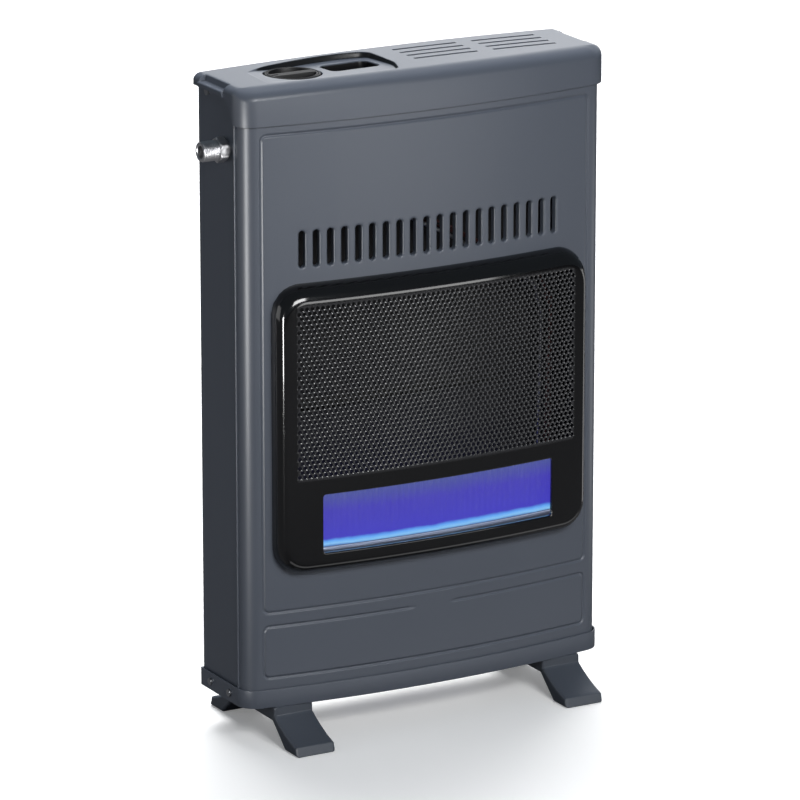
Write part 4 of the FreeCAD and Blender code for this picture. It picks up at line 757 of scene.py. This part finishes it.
# Knob: a moulded black plastic knob with a grip bar between two finger hollows.
# A notch at the left end of the bar shows its setting, and a fine ring runs round its edge.
# It is pushed onto the valve's spindle.
knob_radius = 29.0
knob_top = 691.0
knob_low = 674.0
knob_bar = 5.5
knob_wall = 24.5
knob_round = 1.6
hollow_depth = 8.6
hollow_round = 1.3
ring_radius = 26.2
ring_half = 0.5
ring_depth = 0.5
notch_depth = 1.4
notch_width = (0.6, 1.5)
notch_inner = (16.0, 17.0)
notch_outer = (23.0, 24.0)
flat_radius = knob_radius - knob_round
around = np.linspace(0, 2 * math.pi, 401)[:-1]
radial = np.concatenate([np.linspace(0, flat_radius, 96),
                         flat_radius + knob_round * np.sin(np.linspace(0, math.pi / 2, 7)[1:])])
knob_px = radial[:, None] * np.cos(around)
knob_py = radial[:, None] * np.sin(around)
to_wall = np.maximum(radial[:, None] - knob_wall, knob_bar - np.abs(knob_py))
hollow = hollow_depth * smooth(0.0, hollow_round, -to_wall)
past_flat = np.maximum(radial - flat_radius, 0)
edge_fall = knob_round - np.sqrt(np.maximum(knob_round ** 2 - past_flat ** 2, 0))
ring_line = ring_depth * np.exp(-((radial - ring_radius) / ring_half) ** 2)
notch = notch_depth * (1 - smooth(*notch_width, np.abs(knob_py)))
notch *= smooth(*notch_inner, -knob_px) * (1 - smooth(*notch_outer, -knob_px))
knob_pz = knob_top - hollow - (edge_fall + ring_line)[:, None] - notch
knob_face = np.stack([knob_x + knob_px, knob_y + knob_py, knob_pz], axis=-1)
knob_foot = knob_face[-1].copy()
knob_foot[:, 2] = knob_low
knob_black = finish("knob_plastic", srgb(13, 13, 15), srgb(20, 20, 22), cloud=60.0, grain=1500.0,
                    rough=(0.46, 0.1), bump=0.15)
knob_side = np.stack([knob_face[-1], knob_foot])
knob_blocks = [surface(rows, wrap=True, turned=True) for rows in (knob_face, knob_side)]
knob = piece("knob_cap", knob_blocks, knob_black, body="knob", sharp=50)
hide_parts("control_knob")

# Gas inlet: a turned and nickel plated union with a pipe thread, a hexagon and a neck.
# Its locknut inside the side panel clamps it.
inlet_y = -60.0
inlet_z = 625.0
inlet_tip = -240.0
inlet_end = -209.9
thread_length = 18.0
thread_pitch = 1.814
thread_radius = 10.46
thread_deep = 0.9
thread_run = 1.5
crest_gain = 1.35
crest_cut = 0.15
hex_flat = 12.0
hex_length = 9.0
hex_bevel = 0.9
hex_face = 11.8
hex_corner = 13.4
neck_radius = 9.0
bore = 6.5
bore_depth = 16.0
bore_round = (0.8, 0.7)
spin = np.linspace(0, 2 * math.pi, 97)[:-1]


def turned_rows(along, radius):
    """Rows of points round the inlet's axis, one row for each place along it, at a radius for each angle."""
    radius = np.broadcast_to(radius, (len(along), len(spin)))
    return np.stack([np.broadcast_to(np.array(along)[:, None], radius.shape), inlet_y + radius * np.cos(spin),
                     inlet_z + radius * np.sin(spin)], axis=-1)


root_radius = thread_radius - thread_deep
thread_x = np.linspace(0, thread_length, 121)
saw = (thread_x[:, None] / thread_pitch - spin / (2 * math.pi)) % 1.0
crest = np.clip(crest_gain * (1 - np.abs(2 * saw - 1)) - crest_cut, 0, 1)
run_in = np.clip(np.minimum(thread_x, thread_length - thread_x) / thread_run, 0, 1)[:, None]
thread = turned_rows(inlet_tip + thread_x, root_radius + thread_deep * crest * run_in)
mouth_x = inlet_tip + np.array([bore_depth, bore_depth, bore_round[0], 0.0, 0.0])
mouth_radius = np.array([0.0, bore, bore, bore + bore_round[1], root_radius])
mouth = turned_rows(mouth_x, mouth_radius[:, None])
hex_start = inlet_tip + thread_length
hex_end = hex_start + hex_length
hex_ring = hex_flat / np.cos((spin + math.pi / 6) % (math.pi / 3) - math.pi / 6)
hex_limits = np.array([root_radius, hex_face, hex_corner, hex_corner, hex_face, neck_radius, neck_radius])
hex_x = [hex_start, hex_start, hex_start + hex_bevel, hex_end - hex_bevel, hex_end, hex_end, inlet_end]
hexagon = turned_rows(hex_x, np.minimum(hex_ring, hex_limits[:, None]))
nickel = finish("inlet_nickel", srgb(176, 176, 178), srgb(206, 206, 208), cloud=80.0, grain=1200.0,
                rough=(0.3, 0.1), bump=0.02, metallic=1.0)
inlet_blocks = [surface(part, wrap=True, turned=True) for part in (mouth, thread, hexagon)]
inlet = piece("inlet_union_body", inlet_blocks, nickel, sharp=40)
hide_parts("inlet_union")

# Casing sheets: the base tray, the side panels and the rear panel, painted as the front.
# They are folded from sheet steel and screwed together; the tray's edges are broken by a small round.
tray_round = 0.35


def soften(node, width, angle=40):
    """Joins a node's loose triangles and rounds its sharp edges by the width in millimetres."""
    weld = node.modifiers.new("weld", "WELD")
    weld.merge_threshold = 0.01 * MM
    bevel = node.modifiers.new("round", "BEVEL")
    bevel.width = width * MM
    bevel.segments = 3
    bevel.limit_method = "ANGLE"
    bevel.angle_limit = math.radians(angle)
    split = node.modifiers.new("split", "EDGE_SPLIT")
    split.split_angle = math.radians(angle - 5)


def dress(names, material, width=0.0):
    """Gives the nodes their material, and rounded edges where a width is given."""
    for name in names:
        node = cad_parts[name]
        node.data.materials.clear()
        node.data.materials.append(material)
        if width:
            soften(node, width)


dress(["base_tray"], paint, tray_round)
dress(["left_side_panel", "right_side_panel", "back_panel"], paint)

# Window: a pane of toughened glass, cut and ground from a flat sheet.
# It lies behind the grille's rim and is held by two clips.
glass, place, shader = new_material("window_glass")
smear = noise(place, 30.0, detail=3.0)
feed(shader, {"Base Color": srgb(235, 240, 245), "Roughness": smear * 0.03, "Transmission Weight": 1.0,
              "IOR": 1.45})
dress(["window_glass"], glass)

# Feet: two arches moulded in plastic of the casing's grey, with rounded edges.
# Each is screwed to the tray from below.
foot_round = 4.2
foot_grey = finish("foot_plastic", srgb(66, 72, 82), srgb(76, 82, 92), cloud=14.0, grain=1100.0,
                   rough=(0.42, 0.08), bump=0.2)
dress(["left_foot", "right_foot"], foot_grey, foot_round)

# Screws: zinc plated steel screws with pan heads.
# They hold the feet, the lid, the side panels and the rear panel.
screw_round = 0.5
steel = finish("screw_steel", srgb(120, 122, 126), srgb(165, 167, 170), cloud=300.0, grain=2500.0,
               rough=(0.28, 0.15), bump=0.1, metallic=1.0)
dress(["foot_screws", "left_base_screws", "right_base_screws", "back_screws", "left_cover_screw",
       "right_cover_screw"], steel, screw_round)

# Inner sheets: the deflector, brackets and clips are punched and folded from zinc coated steel.
# The shield and the reflector behind the flame are darkened by soot, and the control plate, seen down the lid's
# well, takes the knob's black.
inner_sheet, place, shader = new_material("inner_sheet")
flake = place.node("ShaderNodeTexVoronoi", {}, {"Vector": place, "Scale": 220.0}, output=1)
shine = flake.node("ShaderNodeSeparateColor", {}, {"Color": flake})
feed(shader, {"Base Color": blend(shine, srgb(112, 114, 118), srgb(150, 152, 156)),
              "Roughness": shine * 0.15 + 0.35, "Metallic": 1.0})
dress(["top_deflector", "left_glass_clip", "right_glass_clip", "left_burner_bracket",
       "right_burner_bracket", "injector_bracket", "pilot_bracket"], inner_sheet)
dress(["control_plate"], knob_black)
sooted = finish("sooted_sheet", srgb(20, 20, 21), srgb(32, 31, 31), cloud=12.0, grain=500.0, rough=(0.6, 0.2),
                bump=0.2)
dress(["heat_shield", "flame_reflector"], sooted)

# Burner and pilot: tubes of stainless steel, rolled, punched with ports and tinted by heat.
# The thermocouple's tip and the knob's spring are of the same bright steel.
burner_steel = finish("burner_steel", srgb(96, 98, 112), srgb(140, 138, 140), cloud=40.0, grain=900.0,
                      rough=(0.3, 0.2), bump=0.1, metallic=1.0)
dress(["burner_tube", "pilot_burner", "knob_spring", "thermocouple"], burner_steel)

# Valve, fittings and pipes: the valve is cast and its plug, spindle, nuts and injector are turned from brass.
# The pipes are soft aluminium, bent by hand and clamped by the fittings.
valve_round = 0.6
casting = finish("valve_casting", srgb(128, 130, 132), srgb(158, 160, 162), cloud=60.0, grain=1200.0,
                 rough=(0.45, 0.15), bump=0.3, metallic=1.0)
brass = finish("fitting_brass", srgb(176, 142, 78), srgb(202, 170, 104), cloud=60.0, grain=1500.0,
               rough=(0.25, 0.15), bump=0.08, metallic=1.0)
aluminium = finish("pipe_aluminium", srgb(128, 130, 134), srgb(152, 154, 156), cloud=50.0, grain=1500.0,
                   rough=(0.45, 0.15), bump=0.1, metallic=1.0)
dress(["gas_valve", "valve_bonnet"], casting, valve_round)
dress(["gas_injector", "bonnet_nut", "valve_plug", "valve_spindle", "igniter_nut", "inlet_locknut"], brass)
dress(["inlet_pipe", "burner_pipe", "pilot_pipe"], aluminium)

# Igniter, electrode and leads: a black plastic body with a matt push button, clamped to the control plate.
# The electrode is glazed ceramic, and the leads run in dark red silicone sleeves.
igniter_round = 0.5
button_round = 0.8
ceramic = finish("electrode_ceramic", srgb(226, 222, 212), srgb(240, 238, 230), cloud=50.0, grain=900.0,
                 rough=(0.25, 0.1), bump=0.05)
sleeve = finish("lead_sleeve", srgb(58, 26, 24), srgb(74, 32, 28), cloud=80.0, grain=1200.0, rough=(0.6, 0.1),
                bump=0.15)
button_black = finish("button_plastic", srgb(6, 6, 7), srgb(12, 12, 13), cloud=60.0, grain=1500.0,
                      rough=(0.7, 0.1), bump=0.15)
feed(button_black.node_tree.nodes["Principled BSDF"], {"Specular IOR Level": 0.1})
dress(["igniter_body"], knob_black, igniter_round)
dress(["igniter_button"], button_black, button_round)
dress(["spark_electrode"], ceramic)
dress(["ignition_lead", "thermocouple_lead"], sleeve)

# Studio camera: a long lens at the left, a little above the lid.
scene = bpy.context.scene
scene.view_settings.view_transform = "Standard"
camera_aim = Vector((0.0036, 0.0, 0.3329))
camera_distance = 6.1736
azimuth = math.radians(-29.19)
elevation = math.radians(16.05)
sensor_width = 36.0
picture_pixels = 800
focal_pixels = 5965.3
far_end = 100.0
right = Vector((math.cos(azimuth), math.sin(azimuth), 0.0))
back = Vector((math.sin(azimuth) * math.cos(elevation), -math.cos(azimuth) * math.cos(elevation),
               math.sin(elevation)))
camera_data = bpy.data.cameras.new("camera")
camera_data.sensor_width = sensor_width
camera_data.lens = sensor_width * focal_pixels / picture_pixels
camera_data.clip_end = far_end
camera = bpy.data.objects.new("camera", camera_data)
camera_turn = Matrix((right, back.cross(right), back)).transposed().to_4x4()
camera.matrix_world = Matrix.Translation(camera_aim + back * camera_distance) @ camera_turn
scene.collection.objects.link(camera)
scene.camera = camera

# Studio lamps: soft lamps before, above and behind the heater and at its left side.
# Narrow strips, which show only in glossy surfaces, draw the bright lines along its rounded edges.


def lamp(name, place, aim, size, power, matt=True, gloss=True):
    """An area lamp of that width and height in metres at a place, turned to its aim.

    It lights matt surfaces, shows in glossy ones, or both."""
    data = bpy.data.lights.new(name, "AREA")
    data.shape = "RECTANGLE"
    data.size = size[0]
    data.size_y = size[1]
    data.energy = power
    made = bpy.data.objects.new(name, data)
    made.location = place
    made.rotation_euler = (Vector(aim) - Vector(place)).to_track_quat("-Z", "Y").to_euler()
    made.visible_diffuse = matt
    made.visible_glossy = gloss
    made.visible_camera = False
    scene.collection.objects.link(made)


lamp("key_lamp", place=(-0.2, -1.92, 1.35), aim=(0.0, -0.05, 0.55), size=(0.9, 0.7), power=30.0)
lamp("top_lamp", place=(0.9, 1.9, 3.4), aim=(0.0, -0.2, 0.2), size=(2.6, 2.6), power=195.0, gloss=False)
lamp("wall_lamp", place=(2.7, 3.3, 1.5), aim=(0.0, 0.0, 0.6), size=(3.0, 2.0), power=43.0)
lamp("side_lamp", place=(-2.6, 0.9, 0.8), aim=(-0.2, 0.0, 0.35), size=(1.4, 1.4), power=8.0)
lamp("corner_strip", place=(-1.0, -0.5, 0.33), aim=(-0.2, -0.03, 0.5), size=(0.14, 0.4), power=9.5, matt=False)
lamp("edge_strip", place=(0.75, -2.07, 0.33), aim=(0.0, -0.07, 0.46), size=(1.2, 0.45), power=8.4, matt=False)
lamp("right_strip", place=(0.8, -0.16, 0.2), aim=(0.18, -0.12, 0.34), size=(0.3, 0.5), power=0.8, matt=False)
lamp("floor_strip", place=(0.15, -0.2, 0.004), aim=(0.15, -0.2, 1.0), size=(0.8, 0.1), power=0.2, matt=False)

# Studio room: a white world and a white floor to the camera, both dimmer to all other rays.
# The floor keeps the heater's soft shadow.
dim_sky = 0.1
cool_sky = (0.8, 1.0, 1.2, 1.0)
white = (1.0, 1.0, 1.0, 1.0)
world = bpy.data.worlds.new("studio")
scene.world = world
world.use_nodes = True
sky = world.node_tree.nodes["Background"]
path = world.node_tree.nodes.new("ShaderNodeLightPath")
seen = Wire(world.node_tree, path.outputs["Is Camera Ray"])
feed(sky, {"Strength": seen * (1 - dim_sky) + dim_sky, "Color": blend(seen, cool_sky, white)})

floor_half = 20.0
floor_corners = [(x * floor_half, y * floor_half, 0.0) for x, y in ((-1, -1), (1, -1), (1, 1), (-1, 1))]
floor_mesh = bpy.data.meshes.new("floor")
floor_mesh.from_pydata(floor_corners, [], [(0, 1, 2, 3)])
floor = bpy.data.objects.new("floor", floor_mesh)
scene.collection.objects.link(floor)
floor_white, place, shader = new_material("floor_white")
mottle = place.node("ShaderNodeTexNoise", {}, {"Vector": place, "Scale": 3.0})
seen = place.node("ShaderNodeLightPath", {}, {})
feed(shader, {"Base Color": blend(seen, srgb(96, 96, 98), srgb(252, 252, 252)),
              "Roughness": mottle * 0.1 + 0.8, "Specular IOR Level": 0.0,
              "Emission Color": blend(seen, srgb(0, 0, 0), srgb(120, 120, 120)), "Emission Strength": 1.0})
floor_mesh.materials.append(floor_white)
